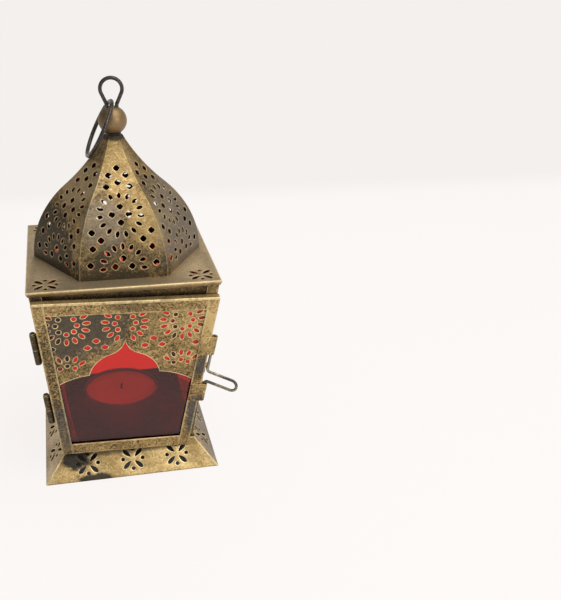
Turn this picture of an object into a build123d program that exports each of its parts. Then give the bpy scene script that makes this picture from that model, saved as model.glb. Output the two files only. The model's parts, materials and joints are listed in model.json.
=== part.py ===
"""A small pressed-brass fanous candle lantern with red panes, a hinged door and a six-gored dome."""

import os
from math import acos, asin, atan2, cos, degrees, hypot, pi, radians, sin, sqrt, tan

from build123d import *

os.makedirs("parts", exist_ok=True)

# Sheet, screen and glass, in millimetres
sheet = 0.6
screen_sheet = 0.5
glass_thick = 1.6
fit_gap = 0.2

# Base skirt and floor
base_height = 12.0
base_flare = 10.5
base_ledge = 0.8
base_rosette_pitch = 22.2
base_rosette_drop = 7.4

# Body: four posts that lean outwards, with a header under the roof
body_foot_half = 31.6
body_lean = 7.2
body_height = 91.5
post_flange = 5.6
rail_height = 6.2
header_height = 5.3
front_header_lap = 4.5
pane_inset = 3.9

# Roof plate
roof_overhang = 0.87
roof_rim = 2.5
roof_fold_radius = 0.5
roof_rosette_inset = 8.6

# Dome of six gores, an ogee made of two tangent arcs
dome_set_back = 9.03
dome_height = 58.7
dome_neck_apothem = 3.7
dome_lower_radius = 50.0
dome_neck_lean = 25.5
dome_lower_flats = 5
dome_upper_flats = 3
dome_seat = 2.0

# Finial, hanger loop and carrying ring
ball_radius = 6.65
ball_flats = 10
ball_collar_height = 1.2
ball_spigot_length = 4.0
loop_wire = 1.75
loop_width = 11.7
loop_leg_spacing = 4.5
loop_bend_radius = 1.5
loop_leg_stand = 0.3
loop_socket_depth = 3.0
loop_height = 13.6
ring_wire = 1.9
ring_outer = 29.5
ring_lift = 0.9
ring_lean = 26.5
wire_sides = 6

# Candle in its cup, set a little off the middle
candle_diameter = 38.0
candle_sides = 36
candle_spot = (-1.9, -0.8)
cup_height = 16.0
cup_wall = 0.4
wax_drop = 1.5
wick_diameter = 1.3
wick_stand = 5.0

# Door, set a little towards its hinges and sagging a little at its free side, in degrees
door_shift = -1.25
door_sag = 2.0
door_gap = 0.9
door_foot_inset = 0.2
door_head_overhang = 0.1
door_foot_gap = 1.5
door_apron = 2.4
door_stile = 5.4
door_rail = 6.2

# Hinges along the door's left edge
hinge_barrel = 3.0
hinge_pin = 1.6
hinge_bore_gap = 0.1
hinge_edge_gap = 0.4
hinge_leaf_thick = 0.6
hinge_knuckle = 8.1
hinge_knuckle_gap = 0.2
hinge_upper_drop = 33.0
hinge_lower_drop = 68.3
hinge_leaf_reach = 8.4
hinge_head_diameter = 2.6
hinge_head_height = 0.7

# Hasp straps, hairpin wire and the catch that it swings to
strap_thick = 0.5
strap_height = 10.2
strap_tube = 3.0
strap_edge_gap = 0.1
strap_upper_drop = 31.7
strap_lower_drop = 59.4
hasp_wire_diameter = 1.45
hasp_prong = 8.5
hasp_arm = 16.3
hasp_arm_spacing = 5.8
hasp_upper_arm_drop = 42.2
hasp_bend_radius = 1.5
hasp_rest_angle = 32.3
catch_width = 3.2
catch_reach = 9.5
catch_length = 5.5
catch_stand = 3.0

# Pierced pattern of the screens, measured from the middle and top of a panel
door_pattern_shift = -1.0
rosette_pitch = 26.5
rosette_drop = 11.7
rosette_row_pitch = 27.4
petal_step = 24.0
petal_ring = 9.1
petal_length = 3.6
petal_width = 1.7
dot_ring = 4.8
dot_step = 45.0
dot_radius = 1.15
lozenge_half = 1.6
trio_drop = 20.9
trio_side = 4.0
trio_step = 3.7
edge_lozenge_side = 33.2
edge_lozenge_drop = 24.4
arch_tip_drop = 21.5
arch_waist = (7.0, 29.2)
arch_throat = (2.6, 26.6)
arch_shoulder = (12.9, 33.2)
arch_cusp = (16.4, 40.4)
arch_lobe = (25.4, 42.6)
arch_lobe_end = (40.0, 53.5)

# Pierced pattern of a gore, measured up its curve from the roof
gore_rosette_rise = 30.1
gore_half_rosette_rise = 6.1
gore_ring = 9.3
gore_oval_length = 3.3
gore_oval_width = 1.8
gore_inner_ring = 3.8
gore_crown = [(0, 53.0), (3.9, 49.5), (0, 45.9), (5.3, 43.8)]
gore_flank = [(13.4, 22.2), (9.5, 18.5), (13.4, 14.8), (14.9, 7.2)]

# Rosettes of the base and the roof
leaf_inner = 1.6
leaf_outer = 6.5
leaf_width = 2.3
leaf_belly = 0.6
leaf_dot_ring = 5.0
leaf_dot_radius = 0.95
roof_dot_ring = 5.0
roof_dot_radius = 0.95

# Levels and half widths that follow from the sizes above
floor_top = base_height + sheet
roof_underside = floor_top + body_height
roof_top = roof_underside + sheet
lean = radians(body_lean)
wall_length = body_height / cos(lean)
header_foot = wall_length - header_height
base_top_half = body_foot_half + base_ledge
base_foot_half = base_top_half + base_flare
roof_half = body_foot_half + body_height * tan(lean) + roof_overhang
dome_apothem = roof_half - dome_set_back
dome_top = roof_top + dome_height
ball_centre = dome_top + ball_radius
door_thick = 2 * sheet + screen_sheet + glass_thick
cutter = 4 * sheet

front_wall = Plane(
    origin=(0, -body_foot_half, floor_top), x_dir=(1, 0, 0), z_dir=(0, -cos(lean), -sin(lean))
)
right_wall = Plane(
    origin=(body_foot_half, 0, floor_top), x_dir=(0, 1, 0), z_dir=(cos(lean), 0, -sin(lean))
)
door_height = header_foot - door_foot_gap
door_centre = (door_shift, door_foot_gap + door_height / 2, door_gap + door_thick)
sag = radians(door_sag)
door_face = Plane(
    origin=front_wall.from_local_coords(door_centre),
    x_dir=front_wall.x_dir * cos(sag) - front_wall.y_dir * sin(sag),
    z_dir=front_wall.z_dir,
)


def write(piece, label):
    """Names a finished piece and writes its file."""
    piece.part.label = label
    export_step(piece.part, f"parts/{label}.step")


def write_turned(piece, labels, turns):
    """Writes copies of a piece turned about the lantern's axis."""
    for label, turn in zip(labels, turns):
        with BuildPart() as turned:
            add(piece.part, rotation=(0, 0, turn))
        write(turned, label)


def wall_edge(rise):
    """Half width of the body at a distance up a wall's slope."""
    return body_foot_half + rise * sin(lean)


def wall_strip(foot, head, inset):
    """Corners of a strip across a wall that keeps clear of the wall's two edges by inset."""
    return [
        (wall_edge(foot) - inset, foot),
        (wall_edge(head) - inset, head),
        (inset - wall_edge(head), head),
        (inset - wall_edge(foot), foot),
    ]


def petal(length, width, belly=0.0):
    """Four-sided slim petal along x, widest at belly from its middle."""
    return [(-length / 2, 0), (belly, -width / 2), (length / 2, 0), (belly, width / 2)]


def lozenge(half):
    """Square standing on its corner."""
    return [(-half, 0), (0, -half), (half, 0), (0, half)]


def ring_places(centre, radius, angles):
    """Places on a circle, each turned to face outwards."""
    return [
        Location((centre[0] + radius * cos(radians(a)), centre[1] + radius * sin(radians(a))), a)
        for a in angles
    ]


def screen_petals(middle, top):
    """Petal places of the three whole rosettes and the two half ones below them."""
    reach = [270 + petal_step * k for k in range(-5, 6)]
    crown = [90 + petal_step * k for k in range(-2, 3)]
    places = []
    for side in (-1, 0, 1):
        centre = (middle + side * rosette_pitch, top - rosette_drop)
        places += ring_places(centre, petal_ring, [a for a in reach if side or a != 270])
    for side in (-1, 1):
        row = top - rosette_drop - rosette_row_pitch
        centre = (middle + side * rosette_pitch, row)
        places += ring_places(centre, petal_ring, crown)
    return places


def screen_dots(middle, top):
    """Dot places inside the rosettes, without those that the rail or the arch's tip would meet."""
    ring = [270 + dot_step * k for k in range(-3, 4)]
    crown = [90 + dot_step * k for k in range(-1, 2)]
    places = []
    for side in (-1, 0, 1):
        centre = (middle + side * rosette_pitch, top - rosette_drop)
        places += ring_places(centre, dot_ring, [a for a in ring if side or a != 270])
    for side in (-1, 1):
        row = top - rosette_drop - rosette_row_pitch
        centre = (middle + side * rosette_pitch, row)
        places += ring_places(centre, dot_ring, crown)
    return places


def screen_lozenges(middle, top):
    """Lozenge trios between the rosettes, and one at each edge."""
    places = []
    for side in (-1, 1):
        between = middle + side * rosette_pitch / 2
        places.append((between, top - trio_drop))
        places.append((between - trio_side, top - trio_drop - trio_step))
        places.append((between + trio_side, top - trio_drop - trio_step))
        places.append((middle + side * edge_lozenge_side, top - edge_lozenge_drop))
    return places


def arch_outline(middle, top):
    """Lines and arcs of the window below the screen: an ogee arch with a lobe each side."""

    def at(point, side):
        return (middle + side * point[0], top - point[1])

    tip = (middle, top - arch_tip_drop)
    for side in (-1, 1):
        ThreePointArc(tip, at(arch_throat, side), at(arch_waist, side))
        ThreePointArc(at(arch_waist, side), at(arch_shoulder, side), at(arch_cusp, side))
        ThreePointArc(at(arch_cusp, side), at(arch_lobe, side), at(arch_lobe_end, side))
    low = top - 2 * wall_length
    left, right = at(arch_lobe_end, -1), at(arch_lobe_end, 1)
    Polyline(left, (left[0], low), (right[0], low), right)


def make_screen(face, outline, middle, top, pierced):
    """Sheet with the arched window cut out of its lower part, and the pierced pattern above it."""
    with BuildPart() as screen:
        with BuildSketch(face):
            Polygon(*outline, align=None)
            with BuildLine():
                arch_outline(middle, top)
            make_face(mode=Mode.SUBTRACT)
            if pierced:
                with Locations(*screen_petals(middle, top)):
                    Polygon(*petal(petal_length, petal_width), mode=Mode.SUBTRACT)
                with Locations(*screen_dots(middle, top)):
                    Polygon(*lozenge(dot_radius), mode=Mode.SUBTRACT)
                with Locations(*screen_lozenges(middle, top)):
                    Polygon(*lozenge(lozenge_half), mode=Mode.SUBTRACT)
        extrude(amount=-screen_sheet)
    return screen


# Leaf of the corner and base rosettes, wider towards its outer end
leaf_middle = (leaf_inner + leaf_outer) / 2
leaf = petal(leaf_outer - leaf_inner, leaf_width, leaf_belly)

# Base skirt: four mitred panels, each pierced with three rosettes
slope_length = hypot(base_flare, base_height)
base_slope = Plane(
    origin=(0, -base_top_half, base_height),
    x_dir=(1, 0, 0),
    z_dir=(0, -base_height, base_flare),
)
with BuildPart() as base_panel:
    with BuildSketch(base_slope):
        with Locations((0, -slope_length / 2)):
            Rectangle(2 * base_foot_half, slope_length + cutter)
        rosettes = [(k * base_rosette_pitch, -base_rosette_drop) for k in (-1, 0, 1)]
        for rosette in rosettes:
            with Locations(*ring_places(rosette, leaf_middle, (45, 135, 225, 315))):
                Polygon(*leaf, align=None, mode=Mode.SUBTRACT)
            with Locations(*ring_places(rosette, leaf_dot_ring, (0, 90, 180, 270))):
                Polygon(*lozenge(leaf_dot_radius), mode=Mode.SUBTRACT)
    extrude(amount=-sheet)
    split(bisect_by=Plane.XY.offset(base_height), keep=Keep.BOTTOM)
    split(bisect_by=Plane.XY, keep=Keep.TOP)
    split(bisect_by=Plane(origin=(0, 0, 0), z_dir=(1, -1, 0)), keep=Keep.TOP)
    split(bisect_by=Plane(origin=(0, 0, 0), z_dir=(-1, -1, 0)), keep=Keep.TOP)
write_turned(
    base_panel,
    ["base_panel_front", "base_panel_right", "base_panel_back", "base_panel_left"],
    [0, 90, 180, 270],
)

# Floor plate that closes the skirt and carries the posts and the candle
with BuildPart() as floor_plate:
    with BuildSketch(Plane.XY.offset(base_height)):
        Rectangle(2 * base_top_half, 2 * base_top_half)
    extrude(amount=sheet)
write(floor_plate, "floor_plate")

# Corner posts: folded angles along the four leaning edges
with BuildPart() as post:
    for face, side in ((front_wall, 1), (right_wall, -1)):
        with BuildSketch(face):
            ends = (-cutter, wall_length + cutter)
            outer = [(side * wall_edge(rise), rise) for rise in ends]
            inner = [(side * (wall_edge(rise) - post_flange), rise) for rise in reversed(ends)]
            Polygon(*outer, *inner, align=None)
        extrude(amount=-sheet)
    split(bisect_by=Plane.XY.offset(floor_top), keep=Keep.TOP)
    split(bisect_by=Plane.XY.offset(roof_underside), keep=Keep.BOTTOM)
write_turned(
    post,
    ["post_front_right", "post_back_right", "post_back_left", "post_front_left"],
    [0, 90, 180, 270],
)

# Headers: strips behind the posts, under the roof; the front one reaches down behind the door's head
for labels, turns, lap in (
    (["header_front"], [0], front_header_lap),
    (["header_right", "header_back", "header_left"], [90, 180, 270], 0),
):
    with BuildPart() as header:
        with BuildSketch(front_wall.offset(-sheet)):
            strip = wall_strip(header_foot - lap, wall_length + cutter, 2 * sheet + fit_gap)
            Polygon(*strip, align=None)
        extrude(amount=-sheet)
        split(bisect_by=Plane.XY.offset(roof_underside), keep=Keep.BOTTOM)
    write_turned(header, labels, turns)

# Rails of the three fixed walls, each with a lip that the panes stand on or meet
fixed_sides = ["right", "back", "left"]
fixed_turns = [90, 180, 270]
lip_depth = sheet + screen_sheet + glass_thick
for place, foot, lip_foot in (
    ("bottom", 0, 0),
    ("top", header_foot - rail_height, header_foot - sheet),
):
    with BuildPart() as rail:
        with BuildSketch(front_wall):
            low = foot - cutter * (place == "bottom")
            Polygon(*wall_strip(low, foot + rail_height, post_flange), align=None)
        extrude(amount=-sheet)
        with BuildSketch(front_wall):
            low = lip_foot - cutter * (place == "bottom")
            Polygon(*wall_strip(low, lip_foot + sheet, post_flange), align=None)
        extrude(amount=-lip_depth)
        split(bisect_by=Plane.XY.offset(floor_top), keep=Keep.TOP)
    write_turned(rail, [f"wall_rail_{place}_{side}" for side in fixed_sides], fixed_turns)

# Red panes and pierced screens of the fixed walls
pane_foot = sheet
pane_head = header_foot - sheet - fit_gap
pane_outline = wall_strip(pane_foot, pane_head, pane_inset)
with BuildPart() as wall_glass:
    with BuildSketch(front_wall.offset(-sheet - screen_sheet)):
        Polygon(*pane_outline, align=None)
    extrude(amount=-glass_thick)
write_turned(wall_glass, [f"wall_glass_{side}" for side in fixed_sides], fixed_turns)
wall_screen = make_screen(front_wall.offset(-sheet), pane_outline, 0, header_foot, False)
write_turned(wall_screen, [f"wall_screen_{side}" for side in fixed_sides], fixed_turns)

# Roof plate: a tray with a folded rim, a six-sided opening and four corner rosettes
with BuildPart() as roof_plate:
    with BuildSketch(Plane.XY.offset(roof_top - roof_rim)):
        Rectangle(2 * roof_half, 2 * roof_half)
    extrude(amount=roof_rim)
    top_edges = roof_plate.faces().sort_by(Axis.Z)[-1].edges()
    fillet(top_edges, roof_fold_radius)
    with BuildSketch(Plane.XY.offset(roof_top - roof_rim)):
        Rectangle(2 * roof_half - 2 * sheet, 2 * roof_half - 2 * sheet)
    extrude(amount=roof_rim - sheet, mode=Mode.SUBTRACT)
    with BuildSketch(Plane.XY.offset(roof_underside)):
        RegularPolygon(dome_apothem - sheet - dome_seat, 6, major_radius=False)
        corner = roof_half - roof_rosette_inset
        for x, y in ((corner, corner), (-corner, corner), (-corner, -corner), (corner, -corner)):
            with Locations(*ring_places((x, y), leaf_middle, (45, 135, 225, 315))):
                Polygon(*leaf, align=None)
            with Locations(*ring_places((x, y), roof_dot_ring, (0, 90, 180, 270))):
                Polygon(*lozenge(roof_dot_radius))
    extrude(amount=sheet, mode=Mode.SUBTRACT)
write(roof_plate, "roof_plate")

# Ogee of the dome: a lower arc that starts upright, and a hollow upper arc up to the neck
neck_lean = radians(dome_neck_lean)
set_in = dome_lower_radius - (dome_apothem - dome_neck_apothem)
dome_upper_radius = (dome_height**2 + set_in**2 - dome_lower_radius**2) / (
    2 * (dome_lower_radius - dome_height * sin(neck_lean) - set_in * cos(neck_lean))
)
turn_sine = (dome_height + dome_upper_radius * sin(neck_lean)) / (dome_lower_radius + dome_upper_radius)
dome_turn = asin(turn_sine)
lower_arc = dome_lower_radius * dome_turn
upper_arc = dome_upper_radius * (dome_turn - neck_lean)
gore_bends = [lower_arc * k / dome_lower_flats for k in range(dome_lower_flats)]
gore_bends += [lower_arc + upper_arc * k / dome_upper_flats for k in range(dome_upper_flats + 1)]


def gore_curve(rise):
    """Distance from the axis, height above the roof and tilt at a distance up the ogee."""
    if rise <= lower_arc:
        tilt = rise / dome_lower_radius
        out = dome_apothem - dome_lower_radius * (1 - cos(tilt))
        return out, dome_lower_radius * sin(tilt), tilt
    tilt = dome_turn - (rise - lower_arc) / dome_upper_radius
    out = dome_apothem - dome_lower_radius * (1 - cos(dome_turn))
    out -= dome_upper_radius * (cos(tilt) - cos(dome_turn))
    up = dome_lower_radius * sin(dome_turn) + dome_upper_radius * (sin(dome_turn) - sin(tilt))
    return out, up, tilt


def gore_point(rise, depth):
    """Corner of the bent sheet in the gore's middle plane, depth inside its outer face."""
    out, up, tilt = gore_curve(rise)
    return (depth * cos(tilt) - out, roof_top + up - depth * sin(tilt))


def gore_place(side, rise, turn=0.0):
    """Plane on the front gore at a distance up its curve, turned in the gore's face."""
    out, up, tilt = gore_curve(rise)
    along = Vector(cos(radians(turn)), 0, 0)
    along += Vector(0, sin(tilt), cos(tilt)) * sin(radians(turn))
    return Plane(
        origin=(side, -out, roof_top + up), x_dir=along, z_dir=(0, -cos(tilt), sin(tilt))
    )


def gore_ring_places(rise, radius, angles):
    """Planes round a rosette's centre, each turned outwards."""
    return [
        gore_place(radius * cos(radians(a)), rise + radius * sin(radians(a)), a) for a in angles
    ]


# Gores: sheets bent in narrow flats, mitred along the six ridges and pierced with rosettes
with BuildPart() as gore:
    with BuildSketch(Plane.YZ.offset(-dome_apothem)):
        outside = [gore_point(rise, 0) for rise in gore_bends]
        inside = [gore_point(rise, sheet) for rise in reversed(gore_bends)]
        Polygon(*outside, *inside, align=None)
    extrude(amount=2 * dome_apothem)
    split(bisect_by=Plane(origin=(0, 0, 0), z_dir=(-cos(pi / 6), -sin(pi / 6), 0)), keep=Keep.TOP)
    split(bisect_by=Plane(origin=(0, 0, 0), z_dir=(cos(pi / 6), -sin(pi / 6), 0)), keep=Keep.TOP)
    whole_ring = [90 + petal_step * k for k in range(15)]
    half_ring = [90 + petal_step * k for k in range(-4, 5)]
    ovals = gore_ring_places(gore_rosette_rise, gore_ring, whole_ring)
    ovals += gore_ring_places(gore_half_rosette_rise, gore_ring, half_ring)
    with BuildSketch(*ovals):
        Polygon(*petal(gore_oval_length, gore_oval_width))
    extrude(amount=cutter, both=True, mode=Mode.SUBTRACT)
    lozenges = gore_ring_places(gore_rosette_rise, gore_inner_ring, (0, 90, 180, 270))
    lozenges += gore_ring_places(gore_half_rosette_rise, gore_inner_ring, (0, 90, 180))
    for side, rise in gore_crown + gore_flank:
        lozenges += [gore_place(x, rise) for x in sorted({-side, side})]
    with BuildSketch(*lozenges):
        Polygon(*lozenge(lozenge_half))
    extrude(amount=cutter, both=True, mode=Mode.SUBTRACT)
write_turned(gore, [f"dome_gore_{k + 1}" for k in range(6)], [60 * k for k in range(6)])

# Finial: a ball with a collar on the dome's neck, a spigot inside it and two sockets for the loop
collar_radius = dome_neck_apothem
spigot_radius = dome_neck_apothem - sheet - fit_gap
loop_eye_radius = (loop_width - loop_wire) / 2
leg_side = loop_leg_spacing / 2
ball_top = ball_centre + ball_radius
socket_foot = ball_centre + sqrt(ball_radius**2 - leg_side**2) - loop_socket_depth
with BuildPart() as finial_ball:
    with BuildSketch(Plane.XZ):
        turns = [pi * (k / ball_flats - 0.5) for k in range(ball_flats + 1)]
        profile = [(ball_radius * cos(t), ball_centre + ball_radius * sin(t)) for t in turns]
        Polygon(*profile, align=None)
        with Locations((0, dome_top)):
            Rectangle(collar_radius, ball_collar_height, align=(Align.MIN, Align.MIN))
            Rectangle(spigot_radius, 2 * ball_spigot_length, align=(Align.MIN, Align.CENTER))
    revolve(axis=Axis.Z)
    with BuildSketch(Plane.XY.offset(socket_foot)):
        with Locations((leg_side, 0), (-leg_side, 0)):
            Circle(loop_wire / 2 + fit_gap / 2)
    extrude(amount=2 * loop_socket_depth, mode=Mode.SUBTRACT)
write(finial_ball, "finial_ball")

# Hanger loop: one wire, two legs that open by straight arms into a round eye
eye_centre = ball_top + loop_height - loop_width / 2
bend_foot = ball_top + loop_leg_stand
bend_side = leg_side + loop_bend_radius
bend_reach = hypot(bend_side, eye_centre - bend_foot)
arm_turn = acos((loop_eye_radius + loop_bend_radius) / bend_reach)
bend_turn = degrees(atan2(eye_centre - bend_foot, bend_side) - arm_turn)
arm_length = bend_reach * sin(arm_turn)
with BuildPart() as hanger_loop:
    with BuildLine(Plane.XZ) as loop_route:
        leg = Line((leg_side, socket_foot), (leg_side, bend_foot))
        flare = JernArc(leg @ 1, (0, 1), loop_bend_radius, -bend_turn)
        arm = Line(flare @ 1, flare @ 1 + (flare % 1) * arm_length)
        eye = JernArc(arm @ 1, arm % 1, loop_eye_radius, 180 + 2 * bend_turn)
        back_arm = Line(eye @ 1, eye @ 1 + (eye % 1) * arm_length)
        back_flare = JernArc(back_arm @ 1, back_arm % 1, loop_bend_radius, -bend_turn)
        Line(back_flare @ 1, (-leg_side, socket_foot))
    with BuildSketch(Plane(origin=loop_route.line @ 0, z_dir=loop_route.line % 0)):
        RegularPolygon(loop_wire / 2, wire_sides)
    sweep(path=loop_route.line)
write(hanger_loop, "hanger_loop")

# Carrying ring: through the loop's legs, leaning on the dome's left ridge
ring_radius = (ring_outer - ring_wire) / 2
ring_pivot = ball_top + ring_wire / 2 + ring_lift
ring_fall = Vector(-sin(radians(ring_lean)), 0, -cos(radians(ring_lean)))
ring_plane = Plane(
    origin=Vector(0, 0, ring_pivot) + ring_fall * ring_radius,
    x_dir=(0, 1, 0),
    z_dir=ring_fall.cross(Vector(0, 1, 0)),
)
ring_section = Plane(origin=(0, 0, ring_pivot), x_dir=ring_fall, z_dir=(0, 1, 0))
with BuildPart() as carry_ring:
    with BuildSketch(ring_section):
        RegularPolygon(ring_wire / 2, wire_sides)
    revolve(axis=Axis(ring_plane.origin, ring_plane.z_dir))
write(carry_ring, "carry_ring")

# Candle: a thin cup, the wax in it and a wick
cup_radius = candle_diameter / 2
candle_axis = Plane(origin=candle_spot)
wax_radius = cup_radius - cup_wall - fit_gap / 2
wax_top = floor_top + cup_height - wax_drop
wax_foot = floor_top + cup_wall
with BuildPart() as candle_cup:
    with BuildSketch(candle_axis.offset(floor_top)):
        RegularPolygon(cup_radius, candle_sides)
    extrude(amount=cup_height)
    with BuildSketch(candle_axis.offset(wax_foot)):
        RegularPolygon(cup_radius - cup_wall, candle_sides)
    extrude(amount=cup_height, mode=Mode.SUBTRACT)
write(candle_cup, "candle_cup")
with BuildPart() as candle_wax:
    with BuildSketch(candle_axis.offset(wax_foot)):
        RegularPolygon(wax_radius, candle_sides)
    extrude(amount=wax_top - wax_foot)
    with BuildSketch(candle_axis.offset(wax_foot + cup_wall)):
        Circle(wick_diameter / 2 + fit_gap / 2)
    extrude(amount=cup_height, mode=Mode.SUBTRACT)
write(candle_wax, "candle_wax")
with BuildPart() as candle_wick:
    with BuildSketch(candle_axis.offset(wax_foot + cup_wall)):
        Circle(wick_diameter / 2)
    extrude(amount=wax_top + wick_stand - wax_foot - cup_wall)
write(candle_wick, "candle_wick")

# Door frame: two channel stiles and two channel rails; their faces hang as an apron over the base
door_foot = -door_height / 2
door_head = door_height / 2
door_foot_half = wall_edge(door_foot_gap) - door_foot_inset
door_head_half = wall_edge(header_foot) + door_head_overhang
door_taper = (door_head_half - door_foot_half) / door_height


def door_edge(rise, side, inset=0.0):
    """A point on the door's left or right edge, moved inwards by inset."""
    return (side * (door_foot_half + (rise - door_foot) * door_taper - inset), rise)


def door_strip(foot, head, inset):
    """Corners of a strip across the door that keeps clear of its two edges by inset."""
    return [
        door_edge(foot, 1, inset),
        door_edge(head, 1, inset),
        door_edge(head, -1, inset),
        door_edge(foot, -1, inset),
    ]


channel_depth = screen_sheet + glass_thick
for side, label in ((-1, "door_stile_left"), (1, "door_stile_right")):
    with BuildPart() as stile:
        for face, outer_inset, depth, mode in (
            (door_face, 0, door_thick, Mode.ADD),
            (door_face.offset(-sheet), sheet, channel_depth, Mode.SUBTRACT),
        ):
            with BuildSketch(face):
                Polygon(
                    door_edge(door_foot, side, outer_inset),
                    door_edge(door_head, side, outer_inset),
                    door_edge(door_head, side, door_stile),
                    door_edge(door_foot, side, door_stile),
                    align=None,
                )
            extrude(amount=-depth, mode=mode)
        with BuildSketch(door_face):
            Polygon(
                door_edge(door_foot, side),
                door_edge(door_foot, side, door_stile),
                door_edge(door_foot - door_apron, side, door_stile),
                door_edge(door_foot - door_apron, side),
                align=None,
            )
        extrude(amount=-sheet)
    write(stile, label)

sill_head = door_foot - door_apron + door_rail
lintel_foot = door_head - door_rail
for label, foot, head, mouth_foot, mouth_head, apron in (
    ("door_rail_bottom", door_foot, sill_head, door_foot + sheet, sill_head, door_apron),
    ("door_rail_top", lintel_foot, door_head, lintel_foot, door_head - sheet, 0),
):
    with BuildPart() as rail:
        with BuildSketch(door_face):
            Polygon(*door_strip(foot, head, door_stile), align=None)
        extrude(amount=-door_thick)
        with BuildSketch(door_face.offset(-sheet)):
            Polygon(*door_strip(mouth_foot, mouth_head, door_stile), align=None)
        extrude(amount=-channel_depth, mode=Mode.SUBTRACT)
        with BuildSketch(door_face):
            Polygon(*door_strip(foot - apron, head, door_stile), align=None)
        extrude(amount=-sheet)
    write(rail, label)

# Door pane and door screen, held in the channels
door_pane = door_strip(door_foot + sheet + fit_gap, door_head - sheet - fit_gap, sheet + fit_gap)
with BuildPart() as door_glass:
    with BuildSketch(door_face.offset(-sheet - screen_sheet)):
        Polygon(*door_pane, align=None)
    extrude(amount=-glass_thick)
write(door_glass, "door_glass")
door_screen = make_screen(
    door_face.offset(-sheet), door_pane, door_pattern_shift, door_head, True
)
write(door_screen, "door_screen")


def edge_plane(side, drop, outset, depth):
    """Plane square to a door edge, at a drop below the door's head: x outwards, z up the edge."""
    rise = door_head - drop
    up = door_face.from_local_coords(door_edge(door_head, side) + (0,))
    up = (up - door_face.from_local_coords(door_edge(door_foot, side) + (0,))).normalized()
    out = up.cross(door_face.z_dir) * side
    foot = door_face.from_local_coords(door_edge(rise, side) + (0,))
    return Plane(origin=foot + out * outset - door_face.z_dir * depth, x_dir=out, z_dir=up)


# Hinges: a leaf on the post, a leaf on the door and a headed pin through both barrels
hinge_outset = hinge_barrel / 2 + hinge_edge_gap
hinge_depth = door_thick + door_gap - hinge_barrel / 2
hinge_bore = hinge_pin / 2 + hinge_bore_gap
hinge_step = hinge_knuckle + hinge_knuckle_gap
for level, drop in (("upper", hinge_upper_drop), ("lower", hinge_lower_drop)):
    pin_foot = edge_plane(-1, drop, hinge_outset, hinge_depth)
    knuckles = (("body", 0.0, 0.0), ("door", hinge_step, door_gap - hinge_leaf_thick))
    for owner, climb, seat in knuckles:
        with BuildPart() as hinge_leaf:
            with BuildSketch(pin_foot.offset(climb)):
                Circle(hinge_barrel / 2)
                with Locations((0, seat - hinge_barrel / 2)):
                    Rectangle(hinge_leaf_reach, hinge_leaf_thick, align=(Align.MAX, Align.MIN))
                Circle(hinge_bore, mode=Mode.SUBTRACT)
            extrude(amount=hinge_knuckle)
        write(hinge_leaf, f"hinge_leaf_{owner}_{level}")
    pin_length = hinge_step + hinge_knuckle + hinge_bore_gap
    with BuildPart() as pin:
        with BuildSketch(pin_foot):
            Circle(hinge_pin / 2)
        extrude(amount=pin_length)
        with BuildSketch(pin_foot.offset(pin_length)):
            Circle(hinge_head_diameter / 2)
        extrude(amount=hinge_head_height)
    write(pin, f"hinge_pin_{level}")

# Hasp straps: each wraps from the stile's face into a rolled tube beside its edge
tube_outset = strap_tube / 2 + strap_edge_gap
tube_depth = strap_tube / 2 - strap_thick
for level, drop in (("upper", strap_upper_drop), ("lower", strap_lower_drop)):
    with BuildPart() as strap:
        with BuildSketch(edge_plane(1, drop, 0, 0)):
            with Locations((-door_stile, -strap_thick)):
                Rectangle(
                    door_stile + tube_outset, strap_thick, align=(Align.MIN, Align.MIN)
                )
            with Locations((tube_outset, tube_depth)):
                Circle(strap_tube / 2)
                Circle(strap_tube / 2 - strap_thick, mode=Mode.SUBTRACT)
        extrude(amount=strap_height)
    write(strap, f"hasp_strap_{level}")

# Hasp: one wire with a prong in each tube and a hairpin arm between them
hasp_frame = edge_plane(1, hasp_upper_arm_drop, tube_outset, tube_depth)
hasp_swing = radians(hasp_rest_angle)
hasp_out = hasp_frame.x_dir * cos(hasp_swing) + door_face.z_dir * sin(hasp_swing)
hasp_plane = Plane(
    origin=hasp_frame.origin, x_dir=hasp_out, z_dir=hasp_out.cross(hasp_frame.z_dir)
)
upper_prong = hasp_upper_arm_drop - strap_upper_drop + hasp_prong
lower_prong = strap_lower_drop - strap_height - hasp_upper_arm_drop + hasp_prong
hairpin_radius = (hasp_arm_spacing - fit_gap) / 2
with BuildPart() as hasp_wire:
    with BuildLine(hasp_plane) as hasp_route:
        FilletPolyline(
            (0, upper_prong),
            (0, 0),
            (hasp_arm, 0),
            (hasp_arm, -hasp_arm_spacing),
            (0, -hasp_arm_spacing),
            (0, -lower_prong),
            radius=[hasp_bend_radius, hairpin_radius, hairpin_radius, hasp_bend_radius],
        )
    with BuildSketch(Plane(origin=hasp_route.line @ 0, z_dir=hasp_route.line % 0)):
        RegularPolygon(hasp_wire_diameter / 2, wire_sides)
    sweep(path=hasp_route.line)
write(hasp_wire, "hasp_wire")

# Catch: a small bent tab on the right wall's front post, inside the hairpin when it is swung back
catch_middle = hasp_frame.origin - hasp_frame.z_dir * (hasp_arm_spacing / 2)
catch_middle = right_wall.to_local_coords(catch_middle + hasp_frame.y_dir * catch_reach)
with BuildPart() as latch_catch:
    with BuildSketch(right_wall):
        with Locations((catch_middle.X, catch_middle.Y)):
            Rectangle(catch_length, catch_width, align=(Align.MAX, Align.CENTER))
    extrude(amount=sheet)
    with BuildSketch(right_wall):
        with Locations((catch_middle.X, catch_middle.Y)):
            Rectangle(sheet, catch_width, align=(Align.MAX, Align.CENTER))
    extrude(amount=catch_stand)
write(latch_catch, "latch_catch")
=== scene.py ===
"""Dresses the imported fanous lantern: pierced brass sheet, red panes, wires, candle and a pale stage."""

import json
from collections import namedtuple
from math import acos, asin, atan2, cos, hypot, pi, radians, sin, sqrt, tan

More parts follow.
